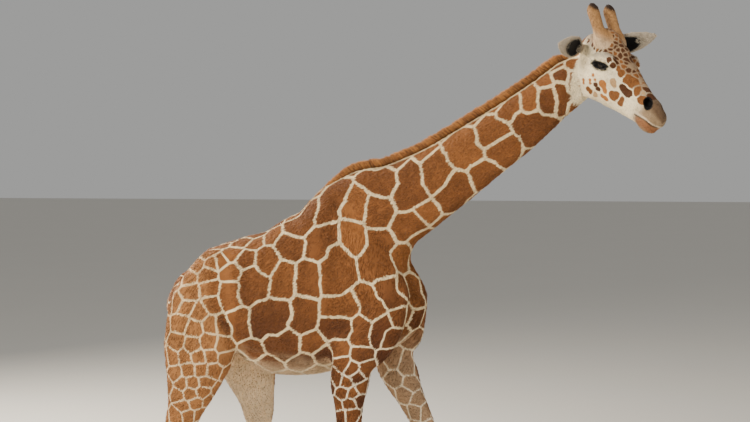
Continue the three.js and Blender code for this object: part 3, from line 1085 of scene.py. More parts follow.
    def half(self, grid: Field, point: np.ndarray, normal: np.ndarray) -> bpy.types.Mesh:
        """The part of a field's surface on one side of a plane.

        Args:
            grid: the field.
            point: a point of the plane.
            normal: the side that is kept.

        Returns:
            A mesh with one open edge.
        """
        points, triangles, quads = grid.surface()
        mesh = new_mesh("half", points, face_lists(triangles, quads))
        shape = bmesh.new()
        shape.from_mesh(mesh)
        everything = shape.verts[:] + shape.edges[:] + shape.faces[:]
        bmesh.ops.bisect_plane(
            shape, geom=everything, dist=1e-6, plane_co=point, plane_no=normal, clear_inner=True
        )
        rim = [v for v in shape.verts if v.is_boundary]
        bmesh.ops.remove_doubles(shape, verts=rim, dist=grid.cell * self.sizes.weld_share)
        shape.to_mesh(mesh)
        shape.free()
        return mesh

    def stretch(self) -> bpy.types.Mesh:
        """Makes the skin: the body's and the head's surfaces, drawn together at the collar.

        Returns:
            One closed mesh.
        """
        sizes, (point, normal) = self.sizes, self.collar()
        gap = normal * sizes.collar_gap / 2
        body = self.half(self.body_field(), point - gap, -normal)
        head = self.half(self.head_field(), point + gap, normal)
        shape = bmesh.new()
        shape.from_mesh(body)
        shape.from_mesh(head)
        rims = [e for e in shape.edges if e.is_boundary]
        bmesh.ops.bridge_loops(shape, edges=rims)
        bmesh.ops.recalc_face_normals(shape, faces=shape.faces)
        mesh = bpy.data.meshes.new("skin")
        shape.to_mesh(mesh)
        shape.free()
        points, edges = mesh_points(mesh), mesh_edges(mesh)
        near = np.abs((points - point) @ normal) < sizes.collar_gap * 3
        evened = relaxed(points, edges, sizes.even_rounds, sizes.even_share)
        points = np.where(near[:, None], relaxed(points, edges, sizes.collar_rounds), evened)
        mesh.vertices.foreach_set("co", points.astype(np.float32).ravel())
        mesh.polygons.foreach_set("use_smooth", np.ones(len(mesh.polygons), bool))
        mesh.update()
        return mesh


@dataclass
class Survey:
    """What is known of each point of the skin: its part, its place on a limb and the coat's lie."""

    points: np.ndarray
    normals: np.ndarray
    edges: np.ndarray
    part: np.ndarray = field(default_factory=lambda: np.zeros(0))
    limb: np.ndarray = field(default_factory=lambda: np.zeros(0))
    t: np.ndarray = field(default_factory=lambda: np.zeros(0))
    theta: np.ndarray = field(default_factory=lambda: np.zeros(0))
    lie: np.ndarray = field(default_factory=lambda: np.zeros(0))
    on_head: np.ndarray = field(default_factory=lambda: np.zeros(0))

    BACKWARD = (Part.HEAD, Part.NECK, Part.TRUNK)
    LIE_ROUNDS = 30
    REACH = 0.7
    LIMB_STEPS = 60
    FALL = 0.7
    SWEEP = 0.5
    FACE_SLANT = 0.25
    TOP_DEG = 90.0

    def take(self, skin: Skin) -> None:
        """Finds the limb that each point lies on, and the way that the coat lies.

        Args:
            skin: the skin's limbs.
        """
        best = np.full(len(self.points), np.inf)
        self.part = np.zeros(len(self.points), int)
        self.limb = np.zeros(len(self.points), int)
        self.t, self.theta = np.zeros(len(self.points)), np.zeros(len(self.points))
        flow = np.zeros_like(self.points)
        for i, (part, limb) in enumerate(skin.limbs):
            body = limb.at(np.linspace(0, 1, self.LIMB_STEPS), np.zeros(self.LIMB_STEPS))
            low, high = body.min(axis=0) - self.REACH, body.max(axis=0) + self.REACH
            rows = np.flatnonzero(np.all((self.points > low) & (self.points < high), axis=1))
            found = limb.locate(self.points[rows])
            nearer = found["depth"] < best[rows]
            rows = rows[nearer]
            best[rows] = found["depth"][nearer]
            self.part[rows], self.limb[rows] = part.value, i
            self.t[rows], self.theta[rows] = found["t"][nearer], found["theta"][nearer]
            flow[rows] = found["flow"][nearer] * (-1.0 if part in self.BACKWARD else 1.0)
        sideways = np.abs(self.normals[:, 1:2])
        flow -= UPWARD * self.FALL * sideways * self.is_on(Part.TRUNK)[:, None]
        flow -= FORE_AFT * self.SWEEP * self.is_on(Part.SHOULDER, Part.HAUNCH)[:, None]
        flow = relaxed(flow, self.edges, self.LIE_ROUNDS)
        across = (flow * self.normals).sum(axis=1, keepdims=True)
        self.lie = unit(flow - self.normals * across)
        self.on_head = placed(self.points, HEAD_BACK)

    def is_on(self, *parts: Part) -> np.ndarray:
        """Which points lie on any of the parts."""
        return np.isin(self.part, [p.value for p in parts])

    def forward(self) -> np.ndarray:
        """How far forward on the head points lie, in millimetres, by slanting planes."""
        return self.on_head[:, 0] + self.on_head[:, 2] * self.FACE_SLANT

    def from_top(self) -> np.ndarray:
        """How far round their limb from its top points lie, in degrees."""
        return np.abs(self.TOP_DEG - np.degrees(self.theta))


@dataclass(frozen=True)
class Swell:
    """A ridge of the body's side, or with a height under nothing a hollow, in millimetres.

    It runs between two places, each given as x and z in the design's frame.
    """

    start: tuple[float, float]
    end: tuple[float, float]
    radius: float
    height: float

    def rise(self, places: np.ndarray) -> np.ndarray:
        """How far it lifts the skin at several places.

        Args:
            places: rows of x and z in the design's frame.

        Returns:
            Millimetres along the skin's normal.
        """
        start, way = np.array(self.start), np.subtract(self.end, self.start)
        along = np.clip((places - start) @ way / (way @ way), 0.0, 1.0)
        away = np.linalg.norm(places - start - along[:, None] * way, axis=1)
        return self.height * np.exp(-((away / self.radius) ** 2))


@dataclass
class Relief:
    """The bones and muscles that show through the skin, on both sides alike."""

    swells: dict[str, Swell] = field(
        default_factory=lambda: {
            "blade_spine": Swell((-395, 2400), (-215, 1900), 42, 11),
            "blade_front": Swell((-262, 2330), (-95, 1950), 40, -8),
            "behind_blade": Swell((-505, 2260), (-455, 1690), 52, -14),
            "shoulder_point": Swell((-110, 1900), (-120, 1840), 50, 10),
            "arm_muscle": Swell((-430, 1650), (-330, 1450), 50, 9),
            "arm_groove": Swell((-250, 1800), (-290, 1420), 26, -7),
            "breast_crease": Swell((-40, 2010), (-110, 1620), 30, -11),
            "elbow": Swell((-432, 1530), (-430, 1500), 36, 9),
            "hip_bone": Swell((-1110, 2110), (-1150, 2040), 52, 16),
            "croup_hollow": Swell((-1230, 2080), (-1290, 1960), 46, -9),
            "seat_bone": Swell((-1400, 1950), (-1410, 1900), 44, 12),
            "flank_hollow": Swell((-1020, 2020), (-985, 1830), 62, -16),
            "flank_fold": Swell((-1050, 1740), (-1000, 1500), 30, 12),
            "behind_fold": Swell((-1110, 1760), (-1070, 1560), 34, -8),
            "thigh_groove": Swell((-1290, 1880), (-1350, 1470), 36, -9),
            "stifle": Swell((-1120, 1530), (-1130, 1480), 46, 9),
            "belly_edge": Swell((-940, 1560), (-620, 1480), 40, -6),
        }
    )
    rib_fronts: tuple[float, ...] = (-560, -625, -690, -755, -820, -885)
    rib_top: float = 2150
    rib_low: float = 1640
    rib_slant: float = 90
    rib_radius: float = 19
    rib_height: float = 3.5
    neck_groove_deg: float = -34.0
    neck_muscle_deg: float = 14.0
    neck_spread_deg: float = 15.0
    neck_groove: float = -8.0
    neck_muscle: float = 4.0
    tendon_groove: float = -4.0
    tendon_levels: Range = (0.24, 0.66)
    tendon_fade: float = 0.05
    tendon_back_deg: float = 18.0
    facing: Range = (0.25, 0.7)
    neck_start: Range = (0.1, 0.3)
    rounds: int = 2

    def press(self, mesh: bpy.types.Mesh, survey: Survey) -> None:
        """Moves the skin's points along their normals, and the survey's with them.

        Args:
            mesh: the skin.
            survey: its survey.
        """
        own = placed(survey.points, np.linalg.inv(BODY))[:, (0, 2)]
        side = smooth_step(np.abs(survey.normals[:, 1]), *self.facing)
        rise = sum(swell.rise(own) for swell in self.swells.values())
        for front in self.rib_fronts:
            ends = (front, self.rib_top), (front - self.rib_slant, self.rib_low)
            rise = rise + Swell(*ends, self.rib_radius, self.rib_height).rise(own)
        leg = survey.is_on(Part.FORELEG, Part.HINDLEG)
        rise = rise * side * (survey.is_on(Part.TRUNK, Part.SHOULDER, Part.HAUNCH) | leg)
        turn = np.degrees(np.arcsin(np.sin(survey.theta)))

        def band(angle: float) -> np.ndarray:
            """How near each point is to an angle round its limb, from 0 to 1."""
            return np.exp(-(((turn - angle) / self.neck_spread_deg) ** 2))

        neck = survey.is_on(Part.NECK) * smooth_step(survey.t, *self.neck_start)
        rise = rise + self.neck_groove * band(self.neck_groove_deg) * neck
        rise = rise + self.neck_muscle * band(self.neck_muscle_deg) * neck
        level, (low, high) = survey.points[:, 2], self.tendon_levels
        cannon = smooth_step(level, low, low + self.tendon_fade)
        cannon = cannon * smooth_step(level, high, high - self.tendon_fade)
        rise = rise + self.tendon_groove * cannon * band(self.tendon_back_deg) * leg
        rise = relaxed(rise, survey.edges, self.rounds)
        points = survey.points + survey.normals * (rise * MM)[:, None]
        mesh.vertices.foreach_set("co", points.astype(np.float32).ravel())
        mesh.update()
        survey.points, survey.normals = mesh_points(mesh), mesh_normals(mesh)


# ---------------------------------------------------------------- markings


Pixels = tuple[tuple[float, float], ...]

# Each patch of the neck, shoulder and trunk that faces the camera: the pixels of its middle parts.
PATCHES: dict[str, Pixels] = {
    "crest_root": ((368, 180), (383, 176), (383, 188)),
    "crest_low": ((408, 172), (412, 185), (418, 193), (403, 197)),
    "crest_lower": ((434, 163), (440, 173), (433, 183)),
    "crest_strip": ((425, 150), (412, 154)),
    "middle": ((455, 143), (467, 140), (460, 155), (472, 153)),
    "crest_middle": ((487, 128), (498, 130), (488, 138)),
    "crest_upper": ((508, 112), (513, 107)),
    "crest_high": ((530, 95), (528, 104)),
    "crest_end": ((545, 81),),
    "behind_ear": ((558, 74), (563, 77)),
    "ear_strip": ((557, 66),),
    "nape": ((573, 63),),
    "under_ear": ((573, 79), (573, 86)),
    "high_middle": ((547, 95), (550, 106)),
    "throat_top": ((561, 89), (565, 98), (562, 106)),
    "throat_high": ((522, 121), (535, 121), (545, 124), (535, 136)),
    "throat_upper": ((497, 150), (507, 146), (509, 157)),
    "throat_middle": ((484, 171), (490, 176), (483, 183)),
    "throat_low": ((458, 184), (448, 197), (464, 190), (452, 205)),
    "breast_top": ((429, 213),),
    "root": ((403, 226), (414, 225)),
    "under_jaw": ((574, 107),),
    "withers_back": ((340, 190), (330, 205), (326, 216)),
    "withers": ((357, 195), (352, 210)),
    "withers_front": ((380, 205), (379, 218)),
    "saddle": ((308, 212), (303, 224), (296, 226)),
    "back_small": ((271, 237),),
    "back_saddle": ((286, 243), (294, 250)),
    "blade_back": ((318, 238), (328, 233), (315, 250)),
    "blade": ((350, 231), (355, 241)),
    "blade_front": ((380, 240), (376, 256), (382, 268), (370, 268)),
    "breast_upper": ((402, 260),),
    "below_blade": ((338, 260), (345, 272), (333, 285), (330, 270)),
    "flank_top": ((264, 255), (267, 264)),
    "thin": ((256, 243),),
    "back_middle": ((243, 242),),
    "flank_high": ((246, 258),),
    "loin": ((231, 254),),
    "hip": ((230, 273),),
    "ribs_back": ((250, 278), (258, 286), (246, 293)),
    "ribs_middle": ((283, 273), (281, 288)),
    "ribs_front": ((309, 271), (308, 287)),
    "hip_low": ((229, 292), (229, 303)),
    "flank_fold": ((236, 318), (242, 331)),
    "belly_back": ((262, 316), (278, 311), (258, 328), (272, 324)),
    "belly_front": ((304, 307), (304, 322)),
    "belly_low": ((275, 345), (288, 342), (286, 352)),
    "groin": ((252, 348),),
    "girth": ((311, 343),),
    "belly_edge": ((300, 362),),
    "arm_back": ((333, 307), (348, 306)),
    "elbow": ((333, 328), (342, 330)),
    "arm_front": ((366, 298), (376, 312), (370, 308)),
    "breast_low": ((388, 290), (394, 300)),
    "arm": ((362, 328), (360, 338)),
    "forearm_front": ((383, 324), (378, 334)),
    "breast_edge": ((399, 318),),
    "breast_end": ((417, 300), (414, 288)),
    "breast_end_low": ((417, 318),),
    "brisket": ((391, 338),),
}
# Rows of the smaller patches of rump, thigh and forearms, in which each pixel is a patch of its own.
PATCH_ROWS: dict[str, Pixels] = {
    "rump_top": ((222, 243), (210, 253), (196, 266), (220, 260)),
    "rump": ((212, 262), (207, 275), (188, 277), (210, 288), (188, 293)),
    "thigh_top": ((177, 302), (185, 307), (200, 313), (212, 305)),
    "thigh_high": ((180, 324), (194, 328), (210, 325), (222, 325)),
    "thigh_middle": ((177, 342), (192, 346), (209, 343), (222, 347)),
    "thigh_low": ((172, 358), (185, 357), (198, 357), (211, 356), (224, 357)),
    "stifle": ((175, 374), (189, 371), (201, 370), (213, 371)),
    "gaskin_high": ((181, 384), (193, 383), (205, 383)),
    "gaskin": ((178, 396), (190, 394), (203, 392)),
    "gaskin_low": ((183, 406), (196, 404), (208, 401)),
    "hock": ((176, 417), (188, 416), (200, 415)),
    "forearm_top": ((340, 350), (360, 355)),
    "forearm_high": ((343, 365), (351, 370)),
    "forearm_middle": ((336, 380), (346, 383), (357, 378), (366, 370)),
    "forearm_low": ((343, 393), (352, 394), (362, 388)),
    "knee_above": ((337, 405), (350, 404), (360, 401)),
    "knee": ((340, 417), (352, 415)),
    "far_forearm_top": ((392, 360), (407, 365), (418, 372)),
    "far_forearm_middle": ((412, 385), (424, 385), (405, 395)),
    "far_forearm_low": ((418, 400), (415, 412), (427, 411)),
}


class SpotTone(Enum):
    """The colours of the face's spots."""

    DARK = 0
    BROWN = 1
    ORANGE = 2
    FAINT = 3


@dataclass(frozen=True)
class Spot:
    """One spot of the face: overlapping rounds, each two pixels and a radius in millimetres."""

    tone: SpotTone
    rounds: tuple[tuple[float, float, float], ...]


FACE_SPOTS = {
    "cheek_back": Spot(SpotTone.DARK, ((595.5, 84.5, 9), (598, 89, 9))),
    "cheek_tall": Spot(SpotTone.ORANGE, ((602.5, 84, 15), (604.5, 90, 11))),
    "cheek_faint": Spot(SpotTone.FAINT, ((613, 83, 15),)),
    "cheek_low": Spot(SpotTone.BROWN, ((612.5, 96, 15), (616.5, 96, 15))),
    "jaw_front": Spot(SpotTone.BROWN, ((621, 99, 12), (620, 102, 12))),
    "cheek_front": Spot(SpotTone.DARK, ((624, 89, 15), (627, 92, 16))),
    "nose_side": Spot(SpotTone.BROWN, ((629, 80, 18), (634, 81, 20), (631, 85, 13), (628, 76, 11))),
    "nose_low": Spot(SpotTone.BROWN, ((638, 90, 16), (637, 93, 13))),
    "nose_end": Spot(SpotTone.FAINT, ((643.5, 93, 13),)),
    "under_eye": Spot(SpotTone.BROWN, ((619, 68, 12), (622, 72, 15))),
    "brow_front": Spot(SpotTone.BROWN, ((622, 62, 10),)),
    "nose_ridge": Spot(SpotTone.DARK, ((631, 60, 18), (633, 66, 20), (634, 72, 13))),
    "nose_top": Spot(SpotTone.BROWN, ((640, 75, 16), (642, 80, 15))),
    "nose_ridge_low": Spot(SpotTone.BROWN, ((643, 82, 16), (646, 86, 13))),
    "jaw_back": Spot(SpotTone.BROWN, ((588.5, 89, 10), (591.5, 92, 11))),
    "jaw_middle": Spot(SpotTone.FAINT, ((594.5, 94, 12),)),
    "jaw_edge": Spot(SpotTone.ORANGE, ((602, 96, 8), (605.5, 98.5, 10))),
    "streak_back": Spot(SpotTone.ORANGE, ((583.5, 80, 6), (583.5, 83, 5))),
    "streak_middle": Spot(SpotTone.ORANGE, ((590, 80, 6), (590, 83, 6))),
    "streak_front": Spot(SpotTone.ORANGE, ((593, 75, 6), (595, 80, 6))),
    "crown_front": Spot(SpotTone.DARK, ((585, 36, 7), (588, 41, 7))),
    "crown_back": Spot(SpotTone.DARK, ((583, 39, 6),)),
}


@dataclass
class Markings:
    """The net of pale lines and brown patches, as distances to the nearest line."""

    seed: int = 17
    clear_share: float = 0.86
    seen_share: float = 1.05
    hidden_share: float = 0.75
    facing: Range = (0.15, 0.4)
    rounds: int = 3
    step_share: float = 0.8
    rivals: int = 10
    beyond: float = 1.0
    region_rounds: int = 12
    warp_size: float = 0.007
    warp_scale: float = 9.0
    warp_octaves: tuple[float, ...] = (1.0, 2.1, 4.3)
    warp_waves: int = 4
    warp_length: float = 2.6
    warp_push: float = 1.6
    spot_scale: float = 1.85
    spot_line: float = 0.0022
    spot_stretch: tuple[float, float, float] = (0.85, 1.0, 1.0)
    far_stray: float = 4.0
    fleck_span: Range = (60.0, 565.0)
    fleck_turn: Profile = ((200.0, 420.0), (57.0, 52.0))
    fleck_size: Profile = ((120.0, 300.0, 460.0), (13.0, 18.0, 26.0))
    fleck_room: float = 1.5
    fleck_clear: float = 0.4
    spot_clear: float = 0.62
    fleck_spread: float = 1.3
    fleck_uneven: Range = (0.9, 1.15)
    brown_flecks: float = 0.45
    brow_clear: float = 1.5
    seeds: np.ndarray = field(default_factory=lambda: np.zeros((0, 3)))
    patch: np.ndarray = field(default_factory=lambda: np.zeros(0, int))
    spots: np.ndarray = field(default_factory=lambda: np.zeros((0, 6)))

    FACE_FROM = 30.0
    LEG_LEVELS = (0.10, 0.40, 0.80, 1.20, 1.60, 1.95)
    LEG_SPACING = (0.045, 0.056, 0.074, 0.092, 0.118, 0.135)
    LEG_LINES = (0.0030, 0.0034, 0.0038, 0.0046, 0.0058, 0.0076)
    NECK_TURNS = (0.0, 0.2, 0.45, 0.7, 0.85, 1.0)
    NECK_SPACING = (0.170, 0.165, 0.165, 0.150, 0.105, 0.085)
    NECK_LINES = (0.0090, 0.0092, 0.0095, 0.0095, 0.0085, 0.0070)
    TRUNK_TURNS = (0.0, 0.2, 0.45, 0.8, 1.0)
    TRUNK_SPACING = (0.100, 0.118, 0.150, 0.165, 0.150)
    TRUNK_LINES = (0.0050, 0.0066, 0.0084, 0.0090, 0.0095)

    def warped(self, points: np.ndarray) -> np.ndarray:
        """Points moved a little by smooth waves, so that the lines of the net aren't straight.

        Args:
            points: rows in metres.

        Returns:
            The moved rows.
        """
        out = points.copy()
        random = np.random.default_rng(self.seed)
        for octave in self.warp_octaves:
            for _ in range(self.warp_waves):
                way = unit(random.normal(size=3)) * self.warp_scale * octave
                way = way * 2 * np.pi / self.warp_length
                push = unit(random.normal(size=3)) * self.warp_size / octave / self.warp_push
                out += np.sin(points @ way + random.uniform(0, 2 * np.pi))[:, None] * push
        return out

    def by_region(self, survey: Survey, legs: tuple, neck: tuple, trunk: tuple) -> np.ndarray:
        """A size at every point, from its level on the legs and its place along neck and trunk.

        Args:
            survey: the skin's survey.
            legs: values at LEG_LEVELS.
            neck: values at NECK_TURNS.
            trunk: values at TRUNK_TURNS.

        Returns:
            One number for each point.
        """
        low = np.interp(survey.points[:, 2], self.LEG_LEVELS, legs)
        high = np.interp(survey.t, self.TRUNK_TURNS, trunk)
        out = np.where(survey.is_on(Part.NECK), np.interp(survey.t, self.NECK_TURNS, neck), high)
        blade = survey.is_on(Part.SHOULDER) & (survey.points[:, 2] > self.LEG_LEVELS[-1])
        out = np.where(blade, trunk[-2], out)
        high = survey.is_on(Part.HAUNCH) & (survey.points[:, 2] > self.LEG_LEVELS[-1])
        out = np.where(high, trunk[1], out)
        on_leg = survey.is_on(Part.FORELEG, Part.HINDLEG) | (
            survey.is_on(Part.SHOULDER, Part.HAUNCH) & (survey.points[:, 2] <= self.LEG_LEVELS[-1])
        )
        out = np.where(on_leg, low, out)
        out = np.where(survey.is_on(Part.HEAD, Part.EAR, Part.OSSICONE), neck[-1], out)
        out = np.where(survey.is_on(Part.TAIL), legs[1], out)
        return relaxed(out, survey.edges, self.region_rounds)

    @staticmethod
    def seen(tree: BVHTree, camera: CameraSpot, pixel: tuple[float, float]) -> np.ndarray | None:
        """The place of the skin that the camera sees at a pixel.

        Args:
            tree: the skin's faces.
            camera: the camera.
            pixel: pixels across and down.

        Returns:
            The place, or nothing where the ray passes the skin by.
        """
        hit = tree.ray_cast(Vector(camera.place), Vector(camera.ray(*pixel)))[0]
        if hit is None:
            LOG.warning("the camera sees no skin at %s", pixel)
            return None
        return np.array(hit)

    def plant(self, survey: Survey, tree: BVHTree, camera: CameraSpot) -> None:
        """Sets the middles of every patch: those that are seen, and seeded ones between and behind.

        Args:
            survey: the skin's survey.
            tree: the skin's faces.
            camera: the camera.
        """
        groups = list(PATCHES.values()) + [(pixel,) for row in PATCH_ROWS.values() for pixel in row]
        pixels = [(pixel, i) for i, group in enumerate(groups) for pixel in group]
        found = [(self.seen(tree, camera, pixel), i) for pixel, i in pixels]
        found = [(place, i) for place, i in found if place is not None]
        places = [Vector(place) for place, _ in found]
        owners = [i for _, i in found]
        spacing = self.by_region(survey, self.LEG_SPACING, self.NECK_SPACING, self.TRUNK_SPACING)
        random = np.random.default_rng(self.seed)
        fixed = len(places)
        order = random.permutation(len(survey.points))
        room = spacing * self.clear_share
        towards = unit(np.array(camera.place) - survey.points)
        facing = smooth_step((survey.normals * towards).sum(axis=1), *self.facing)
        hidden = self.clear_share * self.hidden_share
        seen_room = spacing * (hidden + (self.seen_share - hidden) * facing)
        grid: dict[tuple[int, int, int], list[int]] = {}
        box = max(self.TRUNK_SPACING + self.NECK_SPACING) * max(self.seen_share, 1.0)
        for i, place in enumerate(places):
            grid.setdefault(tuple(int(math.floor(c / box)) for c in place), []).append(i)
        around = [(a, b, c) for a in (-1, 0, 1) for b in (-1, 0, 1) for c in (-1, 0, 1)]
        for row in order:
            point = Vector(survey.points[row])
            key = tuple(int(math.floor(c / box)) for c in point)
            near = [i for step in around for i in grid.get(tuple(k + s for k, s in zip(key, step)), ())]
            if all((places[i] - point).length > (seen_room if i < fixed else room)[row] for i in near):
                grid.setdefault(key, []).append(len(places))
                places.append(point)
                owners.append(len(groups) + len(places))
        rows = np.array([tuple(p) for p in places])
        for _ in range(self.rounds):
            owner, size = self.nearest(rows, survey.points, 1)[:, 0], len(rows)
            count = np.maximum(np.bincount(owner, minlength=size), 1)
            sums = [np.bincount(owner, weights=column, minlength=size) for column in survey.points.T]
            middle = np.stack(sums, -1) / count[:, None]
            moved = rows[fixed:] + (middle[fixed:] - rows[fixed:]) * self.step_share
            rows[fixed:] = survey.points[self.nearest(survey.points, moved, 1)[:, 0]]
        self.seeds, self.patch = rows, np.array(owners)
        self.spots = self.face_spots(survey, tree, camera, random)
        count = len(self.spots)
        LOG.info("markings: %d seeds, %d as seen, %d rounds on the face", len(rows), fixed, count)

    def face_spots(
        self, survey: Survey, tree: BVHTree, camera: CameraSpot, random: np.random.Generator
    ) -> np.ndarray:
        """The rounds of the face's spots, their fellows on the far side, and the forehead's flecks.

        Args:
            survey: the skin's survey.
            tree: the skin's faces.
            camera: the camera.
            random: where chance comes from.

        Returns:
            Rows of x, y, z and radius in the head's frame, in millimetres, the tone and the spot.
        """
        near = []
        for number, spot in enumerate(FACE_SPOTS.values()):
            for across, down, size in spot.rounds:
                place = self.seen(tree, camera, (across, down))
                if place is not None:
                    own = placed(place[None], HEAD_BACK)[0]
                    near.append((*own, size * self.spot_scale, spot.tone.value, number))
        rows = np.array(near)
        far = rows * (1.0, -1.0, 1.0, 1.0, 1.0, 1.0)
        far[:, -1] += len(FACE_SPOTS)
        far[:, :3] += random.normal(scale=self.far_stray, size=(len(far), 3))
        own, x = survey.on_head, survey.on_head[:, 0]
        top = survey.is_on(Part.HEAD) & (x > self.fleck_span[0]) & (x < self.fleck_span[1])
        top &= survey.from_top() < np.interp(x, *self.fleck_turn)
        top &= Dye.away(own, BROW_RIDGE) > self.brow_clear
        sizes = np.interp(x, *self.fleck_size)
        flecks: list[np.ndarray] = []
        for row in random.permutation(np.flatnonzero(top)):
            place, size = own[row], sizes[row]
            room = size * self.fleck_room
            apart = np.linalg.norm(rows[:, :3] - place, axis=1) - rows[:, 3] * self.spot_clear
            clear = apart.min() > room * self.fleck_clear
            if clear and all(np.linalg.norm(f[:3] - place) > room for f in flecks):
                colour = SpotTone.BROWN if random.random() < self.brown_flecks else SpotTone.DARK
                radius = size * self.fleck_spread * random.uniform(*self.fleck_uneven)
                number = 2 * len(FACE_SPOTS) + len(flecks)
                flecks.append(np.array((*place, radius, colour.value, number)))
        return np.vstack((rows, far, *[f[None] for f in flecks]))

    @staticmethod
    def nearest(rows: np.ndarray, points: np.ndarray, count: int) -> np.ndarray:
        """The numbers of the rows nearest to each point, nearest first."""
        tree = KDTree(len(rows))
        for i, row in enumerate(rows):
            tree.insert(row, i)
        tree.balance()
        return np.array([[hit[1] for hit in tree.find_n(p, count)] for p in points])

    def net(self, mesh: bpy.types.Mesh, survey: Survey) -> np.ndarray:
        """Signed distances, at each corner of each face, between that face's three nearest patches.

        Args:
            mesh: the skin.
            survey: its survey.

        Returns:
            Rows of three distances in metres: first to second, first to third, second to third.
        """
        count = len(mesh.polygons)
        middles = np.empty(count * 3, np.float32)
        mesh.polygons.foreach_get("center", middles)
        totals = np.empty(count, np.int32)
        mesh.polygons.foreach_get("loop_total", totals)
        corners = np.empty(len(mesh.loops), np.int32)
        mesh.loops.foreach_get("vertex_index", corners)
        at = self.warped(middles.reshape(-1, 3).astype(float))
        near = self.nearest(self.warped(self.seeds), at, self.rivals)
        face = np.repeat(np.arange(count), totals)
        out = self.gaps(near[face], self.warped(survey.points)[corners])
        face_like = self.face_mask(survey)[corners]
        inside = self.spot_depth(survey.on_head)[corners]
        spotted = np.stack((inside, inside, np.zeros_like(inside)), -1)
        return np.where(face_like[:, None], spotted, out)

    def gaps(self, near: np.ndarray, at: np.ndarray) -> np.ndarray:
        """Signed distances at points between the three patches nearest to them.

        Args:
            near: for each point, the numbers of the seeds round it, nearest first.
            at: the warped points.

        Returns:
            Rows of three distances in metres: first to second, first to third, second to third.
        """
        seeds, ids, rows = self.warped(self.seeds), self.patch[near], np.arange(len(near))
        other = ids != ids[:, :1]
        second = ids[rows, other.argmax(axis=1)]
        rest = other & (ids != second[:, None])
        third = ids[rows, rest.argmax(axis=1)]
        squares = np.stack([((at - seeds[numbers]) ** 2).sum(axis=1) for numbers in near.T], -1)
        chosen = []
        for rank in (ids[:, 0], second, third):
            own = np.where(ids == rank[:, None], squares, np.inf)
            best = own.argmin(axis=1)
            chosen.append((own[rows, best], seeds[near[rows, best]]))

        def between(a: int, b: int) -> np.ndarray:
            """How far a point lies on the first patch's side of the line between two."""
            apart = np.maximum(np.linalg.norm(chosen[b][1] - chosen[a][1], axis=1), 1e-6)
            return (chosen[b][0] - chosen[a][0]) / (2 * apart)

        out = np.stack((between(0, 1), between(0, 2), between(1, 2)), -1)
        out[~rest.any(axis=1), 1:] = self.beyond
        return out

    @staticmethod
    def face_mask(survey: Survey) -> np.ndarray:
        """Which points have the face's separate spots instead of the net."""
        front = survey.forward() > Markings.FACE_FROM
        return (survey.is_on(Part.HEAD) & front) | survey.is_on(Part.EAR, Part.OSSICONE)

    def spot_shares(self, on_head: np.ndarray) -> tuple[np.ndarray, np.ndarray]:
        """How far inside the nearest spot of the face points lie, and which round that is.

        Args:
            on_head: rows in the head's frame, in millimetres.

        Returns:
            Depths in metres, and the numbers of the rounds.
        """
        own = self.warped(on_head * MM)
        middles = self.warped(self.spots[:, :3] * MM)
        best, owner = np.full(len(own), -1.0), np.zeros(len(own), int)
        rival = np.full(len(own), -1.0)
        for number, (middle, size) in enumerate(zip(middles, self.spots[:, 3] * MM)):
            inside = size - np.linalg.norm((own - middle) * self.spot_stretch, axis=1)
            other = self.spots[owner, 5] != self.spots[number, 5]
            ahead = inside > best
            rival = np.where(other, np.maximum(rival, np.where(ahead, best, inside)), rival)
            owner = np.where(ahead, number, owner)
            best = np.maximum(best, inside)
        return np.minimum(best, (best - rival) / 2 - self.spot_line), owner

    def spot_depth(self, on_head: np.ndarray) -> np.ndarray:
        """How far inside a spot of the face points lie, in metres, plus the line's half width."""
        return self.spot_shares(on_head)[0] + self.NECK_LINES[-1]

    def depth_at(self, points: np.ndarray, face_like: np.ndarray) -> np.ndarray:
        """The distance of points of the skin from the nearest line's middle.

        Args:
            points: rows in metres.
            face_like: which of them have the face's spots instead of the net.

        Returns:
            Distances in metres.
        """
        at = self.warped(points)
        near = self.nearest(self.warped(self.seeds), at, self.rivals)
        out = self.gaps(near, at)[:, :2].min(axis=1)
        out[face_like] = self.spot_depth(placed(points[face_like], HEAD_BACK))
        return out


# ---------------------------------------------------------------- finishes


def tone(red: int, green: int, blue: int) -> np.ndarray:
    """A colour given as it is seen on a screen, as linear light."""
    seen = np.array((red, green, blue)) / SCREEN_TOP
    curved = ((seen + SCREEN_LIFT) / (1.0 + SCREEN_LIFT)) ** SCREEN_POWER
    return np.where(seen <= SCREEN_KNEE, seen / SCREEN_FOOT, curved)


